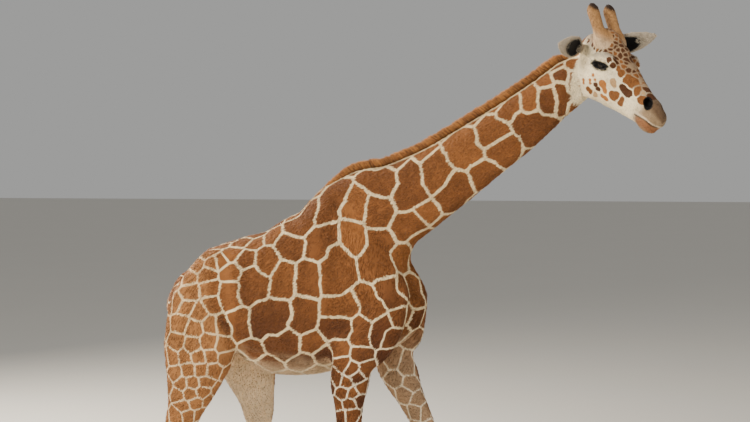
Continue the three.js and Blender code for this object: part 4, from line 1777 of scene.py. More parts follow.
class Shade:
    """A material under construction: adds nodes to its tree and joins them."""

    NOISE_SPAN = (0.3, 0.7)
    CLOUD_SCALE = 9.0
    CLOUD_DETAIL = 3.0
    CLOUD_LIGHT = (0.88, 1.08)
    SHEEN_SPREAD = 0.5

    def __init__(self, name: str) -> None:
        """Starts a material whose surface is one principled shader."""
        self.material = bpy.data.materials.new(name)
        self.material.use_nodes = True
        self.tree = self.material.node_tree
        self.tree.nodes.clear()
        self.shader = self.tree.nodes.new("ShaderNodeBsdfPrincipled")
        output = self.tree.nodes.new("ShaderNodeOutputMaterial")
        self.join(self.shader.outputs["BSDF"], output.inputs["Surface"])

    def join(self, source: bpy.types.NodeSocket, target: bpy.types.NodeSocket) -> None:
        """Joins two sockets."""
        self.tree.links.new(source, target)

    def put(self, target: bpy.types.NodeSocket, value: object) -> None:
        """Gives a socket a value, or joins it to one."""
        if isinstance(value, bpy.types.NodeSocket):
            self.join(value, target)
        elif isinstance(value, (np.ndarray, tuple)):
            target.default_value = (*value, WHITE) if len(target.default_value) == 4 else tuple(value)
        else:
            target.default_value = value

    def math(self, operation: str, *values: object, clamp: bool = False) -> bpy.types.NodeSocket:
        """A sum of numbers."""
        node = self.tree.nodes.new("ShaderNodeMath")
        node.operation, node.use_clamp = operation, clamp
        for target, value in zip(node.inputs, values):
            self.put(target, value)
        return node.outputs[0]

    def vector(self, operation: str, *values: object, scale: object = None) -> bpy.types.NodeSocket:
        """A sum of vectors."""
        node = self.tree.nodes.new("ShaderNodeVectorMath")
        node.operation = operation
        for target, value in zip(node.inputs, values):
            self.put(target, value)
        if scale is not None:
            self.put(node.inputs["Scale"], scale)
        return node.outputs["Vector"]

    def mix(self, share: object, first: object, second: object) -> bpy.types.NodeSocket:
        """A mixture of two colours."""
        node = self.tree.nodes.new("ShaderNodeMix")
        node.data_type = "RGBA"
        for index, value in ((0, share), (6, first), (7, second)):
            self.put(node.inputs[index], value)
        return node.outputs[2]

    def blend(
        self, value: object, low: object, high: object, to_low: object = 0.0, to_high: object = 1.0
    ) -> bpy.types.NodeSocket:
        """A smooth rise of one value between two others."""
        node = self.tree.nodes.new("ShaderNodeMapRange")
        node.interpolation_type = "SMOOTHSTEP"
        names = ("Value", "From Min", "From Max", "To Min", "To Max")
        for name, item in zip(names, (value, low, high, to_low, to_high)):
            self.put(node.inputs[name], item)
        return node.outputs["Result"]

    def stored(self, name: str, output: str = "Vector") -> bpy.types.NodeSocket:
        """An attribute of the mesh."""
        node = self.tree.nodes.new("ShaderNodeAttribute")
        node.attribute_name = name
        return node.outputs[output]

    def place(self) -> bpy.types.NodeSocket:
        """The object's own coordinates."""
        return self.tree.nodes.new("ShaderNodeTexCoord").outputs["Object"]

    def noise(self, at: object, scale: float, detail: float = 2.0) -> bpy.types.NodeSocket:
        """Soft noise of a given fineness."""
        node = self.tree.nodes.new("ShaderNodeTexNoise")
        self.put(node.inputs["Vector"], at)
        node.inputs["Scale"].default_value = scale
        node.inputs["Detail"].default_value = detail
        return node.outputs["Fac"]

    def mottles(self) -> bpy.types.NodeSocket:
        """Broad, faint clouds of lighter and darker coat, the same on the skin and on its hair."""
        clouds = self.noise(self.place(), self.CLOUD_SCALE, self.CLOUD_DETAIL)
        return self.blend(clouds, *self.NOISE_SPAN, *self.CLOUD_LIGHT)

    def bump(self, height: object, distance: float, strength: float = 1.0) -> None:
        """Gives the surface a relief of a given height in metres."""
        node = self.tree.nodes.new("ShaderNodeBump")
        node.inputs["Strength"].default_value = strength
        node.inputs["Distance"].default_value = distance
        self.put(node.inputs["Height"], height)
        self.join(node.outputs["Normal"], self.shader.inputs["Normal"])

    def streaks(self, lie: object, scale: float, step: float, taps: int) -> bpy.types.NodeSocket:
        """Noise drawn out along the coat's lie.

        Args:
            lie: the direction of the hair.
            scale: the noise's fineness.
            step: the distance between its samples, in metres.
            taps: how many samples are taken.

        Returns:
            A value about one half.
        """
        at, total = self.place(), None
        for tap in range(taps):
            shift = self.vector("SCALE", lie, scale=(tap - (taps - 1) / 2) * step)
            value = self.noise(self.vector("ADD", at, shift), scale, 1.0)
            total = value if total is None else self.math("ADD", total, value)
        return self.math("DIVIDE", total, float(taps))

    def gloss(self, roughness: float, **settings: float) -> None:
        """Sets the shader's uniform values."""
        self.shader.inputs["Roughness"].default_value = roughness
        for name, value in settings.items():
            socket = name.replace("_", " ").title().replace("Ior", "IOR")
            self.shader.inputs[socket].default_value = value

    def hair_gloss(self, roughness: float, shine: float, sheen: float) -> None:
        """Sets the shader's uniform values for hair."""
        self.gloss(
            roughness, specular_ior_level=shine, sheen_weight=sheen, sheen_roughness=self.SHEEN_SPREAD
        )


@dataclass(frozen=True)
class CoatTones:
    """The colours of the coat, as linear light."""

    line: tuple = tuple(tone(230, 207, 164))
    line_leg: tuple = tuple(tone(230, 212, 182))
    patch: tuple = tuple(tone(146, 92, 48))
    # A darker patch colour: the patches' own random depth of tone, and painted shade low on the body.
    patch_deep_and_shade: tuple = tuple(tone(86, 49, 27))
    patch_pale: tuple = tuple(tone(202, 158, 108))
    belly: tuple = tuple(tone(226, 204, 172))
    thigh: tuple = tuple(tone(164, 112, 66))
    thigh_line: tuple = tuple(tone(216, 180, 132))
    face: tuple = tuple(tone(242, 225, 188))
    muzzle: tuple = tuple(tone(132, 104, 74))
    # The nose's top and the forehead: their own darker brown, set darker still as painted shade.
    muzzle_top: tuple = tuple(tone(96, 72, 52))
    forehead: tuple = tuple(tone(142, 112, 82))
    temple: tuple = tuple(tone(172, 158, 140))
    horn: tuple = tuple(tone(162, 120, 76))
    horn_foot: tuple = tuple(tone(196, 166, 132))
    horn_tip: tuple = tuple(tone(52, 36, 27))
    # Grey inside of the ears: their own pale colour, greyed partly as painted shade.
    ear_inside_part_shaded: tuple = tuple(tone(142, 135, 124))
    # Near black: painted shade deep in the ears' hollows.
    ear_hollow_shade: tuple = tuple(tone(9, 8, 9))
    ear_back: tuple = tuple(tone(212, 192, 164))
    # Dark skin of the lids, also painted in the nostrils and along the mouth's line as shade.
    dark_skin_and_shade: tuple = tuple(tone(11, 9, 9))
    lip: tuple = tuple(tone(142, 90, 54))
    lip_edge: tuple = tuple(tone(226, 206, 176))
    spot_dark: tuple = tuple(tone(84, 50, 27))
    spot_brown: tuple = tuple(tone(128, 80, 40))
    spot_orange: tuple = tuple(tone(172, 110, 54))
    spot_faint: tuple = tuple(tone(184, 148, 104))


@dataclass(frozen=True)
class CoatFinish:
    """Short hair lying on the skin: streaks along its lie over the two colours of the markings."""

    fine_scale: float = 260.0
    fine_step: float = 0.0035
    tuft_scale: float = 55.0
    tuft_step: float = 0.012
    taps: int = 6
    middle: float = 0.5
    net_rounding: float = 0.008
    edge: float = 0.0022
    fine_wander: float = 0.012
    tuft_wander: float = 0.008
    fine_light: float = 0.6
    tuft_light: float = 0.4
    light_span: Range = (0.36, 0.64)
    light: Range = (0.84, 1.13)
    fine_relief: float = 0.55
    tuft_relief: float = 0.45
    relief: float = 0.0035
    roughness: float = 0.78
    sheen: float = 0.03
    shine: float = 0.14

    def build(self) -> bpy.types.Material:
        """Makes the skin's material.

        Returns:
            The material.
        """
        shade = Shade("short coat")
        lie = shade.stored("lie")
        net = shade.tree.nodes.new("ShaderNodeSeparateXYZ")
        shade.put(net.inputs[0], shade.stored("net"))
        first, second, third = net.outputs
        own = shade.math("SMOOTH_MIN", first, second, self.net_rounding)
        away = [shade.math("MULTIPLY", distance, -1.0) for distance in (first, second, third)]
        other, last = shade.math("MINIMUM", away[0], third), shade.math("MINIMUM", away[1], away[2])
        depth = shade.math("MAXIMUM", own, shade.math("MAXIMUM", other, last))
        tufts = shade.streaks(lie, self.tuft_scale, self.tuft_step, self.taps)
        fine = shade.streaks(lie, self.fine_scale, self.fine_step, self.taps)
        fine_push, tuft_push = (shade.math("SUBTRACT", noise, self.middle) for noise in (fine, tufts))
        wander = shade.math("MULTIPLY_ADD", fine_push, self.fine_wander, depth)
        wander = shade.math("MULTIPLY_ADD", tuft_push, self.tuft_wander, wander)
        line = shade.stored("line", "Fac")
        mask = shade.blend(shade.math("SUBTRACT", wander, line), -self.edge, self.edge)
        colour = shade.mix(mask, shade.stored("ground"), shade.stored("patch"))
        light = shade.math("MULTIPLY", tufts, self.tuft_light)
        light = shade.math("MULTIPLY_ADD", fine, self.fine_light, light)
        light = shade.blend(light, *self.light_span, *self.light)
        light = shade.math("MULTIPLY", light, shade.mottles())
        mottled = shade.vector("SCALE", colour, scale=light)
        shade.put(shade.shader.inputs["Base Color"], mottled)
        relief = shade.math("MULTIPLY", tufts, self.tuft_relief)
        shade.bump(shade.math("MULTIPLY_ADD", fine, self.fine_relief, relief), self.relief)
        shade.hair_gloss(self.roughness, self.shine, self.sheen)
        return shade.material


@dataclass(frozen=True)
class TuftFinish:
    """Locks of hair: each has the colour of its root, paler or darker along its length: painted shade at
    the root and painted light towards the tip.
    """

    name: str
    fleck_scale: float = 90.0
    fleck_light: Range = (0.90, 1.12)
    tip_light: float = 1.10
    root_light: float = 0.96
    roughness: float = 0.72
    sheen: float = 0.03
    shine: float = 0.14

    def build(self) -> bpy.types.Material:
        """Makes the material of the locks.

        Returns:
            The material.
        """
        shade = Shade(self.name)
        along = shade.stored("along", "Fac")
        # Painted shade at the root and painted light towards the tip.
        light = shade.blend(along, 0.0, 1.0, self.root_light, self.tip_light)
        flecks = shade.noise(shade.place(), self.fleck_scale)
        flecks = shade.blend(flecks, *shade.NOISE_SPAN, *self.fleck_light)
        light = shade.math("MULTIPLY", light, shade.mottles())
        colour = shade.vector("SCALE", shade.stored("hue"), scale=shade.math("MULTIPLY", light, flecks))
        shade.put(shade.shader.inputs["Base Color"], colour)
        shade.hair_gloss(self.roughness, self.shine, self.sheen)
        return shade.material


@dataclass(frozen=True)
class HornFinish:
    """The horn of a hoof: dark, ringed by growth and dusty towards the floor."""

    ring_scale: float = 840.0
    ring_share: float = 0.5
    waver_scale: float = 14.0
    waver: float = 0.02
    grain_scale: float = 120.0
    grain_detail: float = 3.0
    dust_top: float = 0.06
    dust: float = 0.55
    relief: float = 0.0012
    roughness: float = 0.5
    dark: tuple = tuple(tone(50, 38, 30))
    light: tuple = tuple(tone(92, 74, 60))
    dusty: tuple = tuple(tone(138, 120, 100))

    def build(self) -> bpy.types.Material:
        """Makes the hooves' material.

        Returns:
            The material.
        """
        shade = Shade("hoof horn")
        at = shade.place()
        level = shade.tree.nodes.new("ShaderNodeSeparateXYZ")
        shade.put(level.inputs[0], at)
        waver = shade.noise(at, self.waver_scale)
        waver = shade.math("MULTIPLY_ADD", waver, self.waver, level.outputs[2])
        rings = shade.math("SINE", shade.math("MULTIPLY", waver, self.ring_scale))
        grain = shade.noise(at, self.grain_scale, self.grain_detail)
        dust = shade.blend(level.outputs[2], 0.0, self.dust_top, self.dust, 0.0)
        horn = shade.mix(grain, self.dark, self.light)
        shade.put(shade.shader.inputs["Base Color"], shade.mix(dust, horn, self.dusty))
        shade.bump(shade.math("MULTIPLY_ADD", rings, self.ring_share, grain), self.relief)
        shade.gloss(self.roughness)
        return shade.material


@dataclass(frozen=True)
class EyeFinish:
    """The wet dark ball of an eye, with a brown ring round a wide black pupil."""

    roughness: float = 0.06
    film: float = 0.03
    streak_scale: float = 700.0
    pupil_edge: Range = (0.40, 0.50)
    iris_edge: Range = (0.62, 0.74)
    pupil: tuple = tuple(tone(4, 4, 4))
    iris_dark: tuple = tuple(tone(16, 10, 8))
    iris_light: tuple = tuple(tone(34, 21, 14))
    rim: tuple = tuple(tone(14, 10, 9))

    def build(self) -> bpy.types.Material:
        """Makes the eyes' material.

        Returns:
            The material.
        """
        shade = Shade("eye")
        ring = shade.stored("ring", "Fac")
        streak = shade.noise(shade.place(), self.streak_scale)
        iris = shade.mix(streak, self.iris_dark, self.iris_light)
        colour = shade.mix(shade.blend(ring, *self.pupil_edge), self.pupil, iris)
        colour = shade.mix(shade.blend(ring, *self.iris_edge), colour, self.rim)
        shade.put(shade.shader.inputs["Base Color"], colour)
        shade.gloss(self.roughness, specular_ior_level=0.0, coat_weight=1.0, coat_roughness=self.film)
        return shade.material


# ---------------------------------------------------------------- colouring


@dataclass(frozen=True)
class BodyZones:
    """Where the body's colours fade, each pair from no share to the full one, and how far they go.

    Levels are metres above the floor, facings are parts of a normal, and the rest are shares of
    a colour.
    """

    inner_facing: Range = (0.0, 0.6)
    under_facing: Range = (0.5, 0.95)
    leg_levels: Range = (1.75, 1.35)
    shin_levels: Range = (1.0, 0.3)
    # Painted shade: the levels over which the patches darken towards the floor.
    painted_shade_levels: Range = (2.05, 1.6)
    fore_inside: float = 0.3
    inner_pale: float = 0.92
    under_pale: float = 0.8
    shin_pale: float = 0.35
    inner_belly: float = 0.8
    under_belly: float = 0.6
    deepest: float = 0.6
    # How much darker the patches are painted low on the body, as shade.
    low_painted_shade: float = 0.4
    thigh_rounds: int = 12
    thigh_patch: float = 0.75
    thigh_line: float = 0.6
    crest_steps: int = 160
    crest_gap: Range = (0.035, 0.027)
    cheek_front: Range = (2.0, 14.0)


@dataclass(frozen=True)
class HeadZones:
    """Where the head's colours fade, each pair from no share to the full one, and how far they go.

    Places are millimetres in the head's frame, turns are degrees from its top, and depths are shares of
    an egg's or a scoop's own size.
    """

    throat: Range = (-40.0, 10.0)
    temple_turn: Range = (78.0, 50.0)
    temple_start: Range = (-60.0, 20.0)
    temple_end: Range = (170.0, 90.0)
    temple: float = 0.8
    crown_turn: Range = (62.0, 40.0)
    crown_start: Range = (-40.0, 60.0)
    crown_end: Range = (560.0, 470.0)
    crown: float = 0.9
    brow_depth: Range = (1.5, 0.9)
    brow: float = 0.7
    muzzle_start: Range = (520.0, 625.0)
    muzzle_slant: float = 0.3
    muzzle: float = 0.9
    nose_turn: Range = (66.0, 36.0)
    nose_start: Range = (470.0, 560.0)
    nose: float = 0.8
    mouth_steps: int = 80
    mouth_shade_reach: Range = (10.0, 6.5)
    lip_below: Range = (2.0, -4.0)
    lip_start: Range = (500.0, 560.0)
    lip_reach: Range = (66.0, 40.0)
    edge_above: Range = (1.0, 5.0)
    edge_reach: Range = (21.0, 13.0)
    lips: float = 0.85
    lid_depth: Range = (1.0, 0.82)
    lid_level: Range = (22.0, 19.0)
    nostril_shade_depth: Range = (1.22, 1.02)
    horn_foot: float = 0.9
    horn_shaft: Range = (96.0, 150.0)
    horn_tip: Range = (222.0, 240.0)
    hollow_depth: Range = (1.24, 1.10)
    hollow_end: Range = (0.82, 0.70)
    ear_facing: Range = (0.15, 0.5)
    ear_end: Range = (0.97, 0.84)
    ear_face: float = 0.6


@dataclass
class Dye:
    """Colours every point of the skin: the pale ground, the patches, and the breadth of the lines."""

    tones: CoatTones = field(default_factory=CoatTones)
    body: BodyZones = field(default_factory=BodyZones)
    head: HeadZones = field(default_factory=HeadZones)
    seed: int = 5
    ground: np.ndarray = field(default_factory=lambda: np.zeros(0))
    patch: np.ndarray = field(default_factory=lambda: np.zeros(0))
    line: np.ndarray = field(default_factory=lambda: np.zeros(0))

    @staticmethod
    def over(base: np.ndarray, share: np.ndarray, colour: tuple) -> np.ndarray:
        """A colour laid over others by a share at each point."""
        return base + (np.array(colour) - base) * np.clip(share, 0.0, 1.0)[:, None]

    def take(self, survey: Survey, markings: Markings) -> None:
        """Works out the colours.

        Args:
            survey: the skin's survey.
            markings: the net and spots.
        """
        zones, tones, normals, level = self.body, self.tones, survey.normals, survey.points[:, 2]
        random = np.random.default_rng(self.seed)
        seeds, points = markings.warped(markings.seeds), markings.warped(survey.points)
        owner = markings.nearest(seeds, points, 1)[:, 0]
        depth = random.uniform(0.0, zones.deepest, markings.patch.max() + 1)[markings.patch[owner]]
        # Patches are painted darker towards the bottom of the body, as shade of belly, shoulders and
        # legs, over each patch's own random depth of tone.
        depth = depth + zones.low_painted_shade * smooth_step(level, *zones.painted_shade_levels)
        inward = np.where(survey.points[:, 1] > BODY[1, 3], -normals[:, 1], normals[:, 1])
        leg = survey.is_on(Part.FORELEG, Part.HINDLEG, Part.SHOULDER, Part.HAUNCH).astype(float)
        hind = survey.is_on(Part.HINDLEG, Part.HAUNCH)
        low = smooth_step(level, *zones.leg_levels) * leg
        inner = smooth_step(inward, *zones.inner_facing) * low * np.where(hind, 1.0, zones.fore_inside)
        under = smooth_step(-normals[:, 2], *zones.under_facing) * survey.is_on(Part.TRUNK)
        shin = smooth_step(level, *zones.shin_levels) * leg
        thigh = relaxed(hind.astype(float), survey.edges, zones.thigh_rounds)
        ground = np.tile(np.array(tones.line), (len(level), 1))
        ground = self.over(ground, np.maximum(low, under), tones.line_leg)
        ground = self.over(ground, thigh * zones.thigh_line, tones.thigh_line)
        pale = inner * zones.inner_pale + under * zones.under_pale + shin * zones.shin_pale
        patch = np.tile(np.array(tones.patch), (len(level), 1))
        for share, colour in (
            (depth, tones.patch_deep_and_shade),
            (thigh * zones.thigh_patch, tones.thigh),
            (pale, tones.patch_pale),
            (inner * zones.inner_belly + under * zones.under_belly, tones.belly),
        ):
            patch = self.over(patch, share, colour)
        ground, patch = self.colour_head(survey, markings, ground, patch)
        patch = self.edged(survey, markings, ground, patch)
        self.ground, self.patch = relaxed(ground, survey.edges, 1), patch
        line = markings.by_region(survey, markings.LEG_LINES, markings.NECK_LINES, markings.TRUNK_LINES)
        self.line = np.where(markings.face_mask(survey), markings.NECK_LINES[-1], line)

    def edged(
        self, survey: Survey, markings: Markings, ground: np.ndarray, patch: np.ndarray
    ) -> np.ndarray:
        """Ends the net with a pale line along the foot of the mane and behind the cheeks.

        Args:
            survey: the skin's survey.
            markings: the net and spots.
            ground: the ground's colours.
            patch: the patches' colours.

        Returns:
            The patches' colours, pale there.
        """
        zones = self.body
        crest = placed(Mane().path()(np.linspace(0.0, 1.0, zones.crest_steps))[:, :3], BODY)
        nearest = crest[markings.nearest(crest, survey.points, 1)[:, 0]]
        pale = smooth_step(np.linalg.norm(survey.points - nearest, axis=1), *zones.crest_gap)
        cheek = smooth_step(survey.forward(), *zones.cheek_front) * survey.is_on(Part.NECK, Part.HEAD)
        pale = np.maximum(pale, cheek) * ~markings.face_mask(survey)
        return patch + (ground - patch) * pale[:, None]

    def colour_head(
        self, survey: Survey, markings: Markings, ground: np.ndarray, patch: np.ndarray
    ) -> tuple[np.ndarray, np.ndarray]:
        """Colours the face, the horns and the ears.

        Args:
            survey: the skin's survey.
            markings: the net and spots.
            ground: the ground's colours so far.
            patch: the patches' colours so far.

        Returns:
            Both, with the head's colours laid over.
        """
        zones, tones, own = self.head, self.tones, survey.on_head
        x, z = own[:, 0], own[:, 2]
        head = survey.is_on(Part.HEAD).astype(float)
        horn, ear = survey.is_on(Part.OSSICONE).astype(float), survey.is_on(Part.EAR).astype(float)
        from_top = survey.from_top()

        def zone(turn: Range, start: Range) -> np.ndarray:
            """A zone of the head's top that fades with the turn from it and starts along the head."""
            return head * smooth_step(from_top, *turn) * smooth_step(x, *start)

        dark, hollow = head * self.dark_lids_and_nostril_shade(own), ear * self.ear_hollow(survey)
        lower, edge, mouth = self.lips(markings, own)
        throat = survey.is_on(Part.HEAD, Part.NECK) * smooth_step(survey.forward(), *zones.throat)
        temple = zone(zones.temple_turn, zones.temple_start) * smooth_step(x, *zones.temple_end)
        crown = zone(zones.crown_turn, zones.crown_start) * smooth_step(x, *zones.crown_end)
        brow = head * smooth_step(self.away(own, BROW_RIDGE), *zones.brow_depth)
        muzzle = head * smooth_step(x - z * zones.muzzle_slant, *zones.muzzle_start)
        for share, colour in (
            (throat, tones.face),
            (temple * zones.temple, tones.temple),
            # The crown is painted darker: partly its own brown, partly painted shade.
            (crown * zones.crown, tones.forehead),
            (brow * zones.brow, tones.temple),
            (muzzle * zones.muzzle, tones.muzzle),
            # The nose's top is painted darker: partly its own brown, partly painted shade.
            (zone(zones.nose_turn, zones.nose_start) * zones.nose, tones.muzzle_top),
            (head * lower * zones.lips, tones.lip),
            (head * edge * zones.lips, tones.lip_edge),
            # The mouth's line is painted dark, as the shade between the lips.
            (head * mouth, tones.dark_skin_and_shade),
            # Dark skin of the lids, and painted shade in the nostrils.
            (dark, tones.dark_skin_and_shade),
            (horn * zones.horn_foot, tones.horn_foot),
            (horn * smooth_step(z, *zones.horn_shaft), tones.horn),
            (horn * smooth_step(z, *zones.horn_tip), tones.horn_tip),
            (ear, tones.ear_back),
            # The ears' inner faces and hollows turn grey: partly their own colour, partly painted shade.
            (np.maximum(hollow, ear * self.ear_face(survey) * zones.ear_face), tones.ear_inside_part_shaded),
            # The deep part of each ear's hollow is painted near black, as shade.
            (hollow * smooth_step(survey.t, *zones.hollow_end), tones.ear_hollow_shade),
        ):
            ground = self.over(ground, share, colour)
        spots = np.array([tones.spot_dark, tones.spot_brown, tones.spot_orange, tones.spot_faint])
        face = markings.face_mask(survey) & survey.is_on(Part.HEAD)
        owner = markings.spot_shares(own[face])[1]
        patch[face] = spots[markings.spots[owner, 4].astype(int)]
        # The dark lids and the painted shade of the nostrils go over the spots too.
        patch = self.over(patch, dark, tones.dark_skin_and_shade)
        return ground, np.where(np.maximum(horn, ear)[:, None] > 0, ground, patch)

    def lips(self, markings: Markings, own: np.ndarray) -> tuple[np.ndarray, np.ndarray, np.ndarray]:
        """How far points of the head lie on the lower lip, the upper lip's edge and the mouth's line,
        which is painted dark as shade.

        Args:
            markings: the net and spots.
            own: rows in the head's frame, in millimetres.

        Returns:
            Three shares for each point.
        """
        zones = self.head
        line = Limb(MOUTH, HEAD_FRAME, UPWARD).line(np.linspace(0.0, 1.0, zones.mouth_steps))
        nearest = line[markings.nearest(line, own, 1)[:, 0]]
        gap, above = np.linalg.norm(own - nearest, axis=1), own[:, 2] - nearest[:, 2]
        lower = smooth_step(above, *zones.lip_below) * smooth_step(own[:, 0], *zones.lip_start)
        edge = smooth_step(above, *zones.edge_above) * smooth_step(gap, *zones.edge_reach)
        return lower * smooth_step(gap, *zones.lip_reach), edge, smooth_step(gap, *zones.mouth_shade_reach)

    def dark_lids_and_nostril_shade(self, own: np.ndarray) -> np.ndarray:
        """How far points of the head lie on the bare dark skin of the lids, and in the nostrils, which
        are painted dark as shade.
        """
        zones = self.head
        level = placed(own - LID_DARK.at, np.linalg.inv(turned(0.0, -LID_DARK.pitch_deg)))[:, 2]
        dark = smooth_step(self.away(own, LID_DARK), *zones.lid_depth)
        dark = dark * smooth_step(level, *zones.lid_level)
        for hole in (NOSTRIL, NOSTRIL_DEEP):
            # The nostrils are painted dark, as the shade inside them.
            dark = np.maximum(dark, smooth_step(self.away(own, hole), *zones.nostril_shade_depth))
        return dark

    @staticmethod
    def away(own: np.ndarray, mass: Mass) -> np.ndarray:
        """How far points of the head are from an egg's middle on either side, 1 on its surface."""
        rows = np.stack((own[:, 0], np.abs(own[:, 1]), own[:, 2]), -1) - mass.at
        back = np.linalg.inv(turned(0.0, -mass.pitch_deg, mass.yaw_deg))
        return np.linalg.norm(placed(rows, back) / mass.size, axis=1)

    def ear_face(self, survey: Survey) -> np.ndarray:
        """How far each point of the ears faces the way their hollows do, from 0 to 1."""
        share = np.zeros(len(survey.points))
        for side in (RIGHT, LEFT):
            scoop, ear = (Limb(rows, ear_place(side), UPWARD) for rows in (EAR_SCOOP, EAR))
            ways = placed(scoop.line(survey.t), scoop.place) - placed(ear.line(survey.t), ear.place)
            own = np.sign(survey.on_head[:, 1]) == side
            way = unit(ways[own & survey.is_on(Part.EAR)].mean(axis=0))
            share = np.where(own, smooth_step(survey.normals @ way, *self.head.ear_facing), share)
        return share * smooth_step(survey.t, *self.head.ear_end)

    def ear_hollow(self, survey: Survey) -> np.ndarray:
        """How far each point lies in the hollow of an ear, from 0 to 1."""
        share = np.zeros(len(survey.points))
        for side in (RIGHT, LEFT):
            scoop = Limb(EAR_SCOOP, ear_place(side), UPWARD).locate(survey.points)
            share = np.maximum(share, smooth_step(scoop["depth"], *self.head.hollow_depth))
        return share


# ---------------------------------------------------------------- eyes and hooves


@dataclass
class Eye:
    """One eyeball, turned outward, with its iris marked on it."""

    side: int
    rings: int = 28
    sides: int = 48
    cornea: float = 0.06
    cornea_edge: float = 0.62
    behind: float = 2.0
    outward: tuple[float, float, float] = (0.30, 0.93, 0.10)

    def build(self, finish: bpy.types.Material) -> bpy.types.Object:
        """Makes the eye.

        Args:
            finish: the eyes' material.

        Returns:
            The finished piece.
        """
        ball = ball_points(np.linspace(0, np.pi, self.rings + 1)[1:-1], self.sides)
        front = smooth_step(np.arccos(np.clip(ball[:, 2], -1, 1)), self.cornea_edge, 0.0)
        ball = ball * (1.0 + self.cornea * front)[:, None]
        axis = unit(np.array(self.outward))
        level = unit(np.cross(axis, UPWARD))
        outward = ball[:, :1] * level + ball[:, 1:2] * np.cross(level, axis) + ball[:, 2:] * axis
        own = outward * EYE_RADIUS * (1 - self.cornea / 2) + EYE_AT
        points = placed(own, HEAD_FRAME @ mirrored(self.side))
        ends, quads = ring_faces(self.rings - 1, self.sides)
        faces = quads.tolist() + ends.tolist()
        name = "right" if self.side == RIGHT else "left"
        mesh = new_mesh(f"eyeball_{name}", points, faces)
        face_outward(mesh)
        ring = np.linalg.norm(ball[:, :2], axis=1) + (ball[:, 2] < 0) * self.behind
        write_values(mesh, "ring", ring)
        return new_piece(mesh, (f"eye_{name}",), finish)


def face_outward(mesh: bpy.types.Mesh) -> None:
    """Turns the faces of a closed mesh outward."""
    shape = bmesh.new()
    shape.from_mesh(mesh)
    bmesh.ops.recalc_face_normals(shape, faces=shape.faces)
    shape.to_mesh(mesh)
    shape.free()
    mesh.update()


@dataclass
class Hooves:
    """The eight claws, with the edges of the fixed frame's plain ones rounded off."""

    rounding: float = 0.006
    segments: int = 3
    roundness: float = 0.5
    weld: float = 1e-5
    crease_deg: float = 28.0
    flat_deg: float = 4.0

    def build(self, finish: bpy.types.Material) -> list[bpy.types.Object]:
        """Makes the claws.

        Args:
            finish: their material.

        Returns:
            The finished pieces.
        """
        pieces = []
        for name, node in sorted(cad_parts.items()):
            if name.startswith("hoof_"):
                pieces.append(new_piece(self.rounded(node.data, name), (name,), finish))
        return pieces

    def rounded(self, plain: bpy.types.Mesh, name: str) -> bpy.types.Mesh:
        """A copy of a plain claw with its edges rounded.

        Args:
            plain: the fixed frame's mesh.
            name: the claw's name.

        Returns:
            The rounded mesh.
        """
        shape = bmesh.new()
        shape.from_mesh(plain)
        bmesh.ops.remove_doubles(shape, verts=shape.verts, dist=self.weld)
        bmesh.ops.dissolve_limit(
            shape, angle_limit=math.radians(self.flat_deg), verts=shape.verts, edges=shape.edges
        )
        sharp = [e for e in shape.edges if e.calc_face_angle(0.0) > math.radians(self.crease_deg)]
        bmesh.ops.bevel(
            shape,
            geom=sharp,
            offset=self.rounding,
            offset_type="OFFSET",
            segments=self.segments,
            profile=self.roundness,
            affect="EDGES",
        )
        bmesh.ops.triangulate(shape, faces=[f for f in shape.faces if len(f.verts) > 4])
        bmesh.ops.recalc_face_normals(shape, faces=shape.faces)
        mesh = bpy.data.meshes.new(name.replace("hoof_", "claw_"))
        shape.to_mesh(mesh)
        shape.free()
        mesh.polygons.foreach_set("use_smooth", np.ones(len(mesh.polygons), bool))
        return mesh


# ---------------------------------------------------------------- hair


@dataclass(frozen=True)
class Lock:
    """The shape of one lock of hair, of length one along x: thin, tapering and closed all round."""

    name: str
    steps: tuple[float, ...] = (0.0, 0.55)
    widths: tuple[float, ...] = (0.8, 1.0)
    thicknesses: tuple[float, ...] = (0.7, 1.0)
    rises: tuple[float, ...] = (0.0, 0.35)
    tip_rise: float = 0.2
    sides: int = 3
    patch: float = 0.0015
    patch_turn: float = 0.4

    def form(self) -> tuple[np.ndarray, list[float], list[list[int]], np.ndarray]:
        """The lock's points, how far along it each is, its faces, and its points' places on its patch.

        Returns:
            The four of them.
        """
        turn = round_angles(self.sides) + np.pi / 2
        rows, along = [], []
        for step, width, thick, rise in zip(self.steps, self.widths, self.thicknesses, self.rises):
            rows += [(step, width / 2 * math.cos(a), rise + thick / 2 * math.sin(a)) for a in turn]
            along += [step] * self.sides
        rows.append((1.0, 0.0, self.tip_rise))
        along.append(1.0)
        faces = [list(range(self.sides))]
        for ring in range(len(self.steps) - 1):
            for k in range(self.sides):
                a, b = ring * self.sides + k, ring * self.sides + (k + 1) % self.sides
                faces.append([b, a, a + self.sides, b + self.sides])
        last = (len(self.steps) - 1) * self.sides
        faces += [[last + (k + 1) % self.sides, last + k, len(rows) - 1] for k in range(self.sides)]
        across = np.append(np.tile(np.cos(turn + self.patch_turn), len(self.steps)), 0.0)
        return np.array(rows), along, faces, across

    def build(self) -> bpy.types.Object:
        """Makes the lock that the others are copied from.

        Returns:
            An object that isn't in the scene.
        """
        rows, along, faces, across = self.form()
        mesh = new_mesh(self.name, rows, faces)
        face_outward(mesh)
        write_values(mesh, "along", np.array(along))
        spot = np.zeros((len(rows), 3))
        spot[:, 0] = (np.array(along) - 0.5) * 2 * self.patch
        spot[:, 1] = across * self.patch
        write_values(mesh, "spot", spot)
        return bpy.data.objects.new(self.name, mesh)


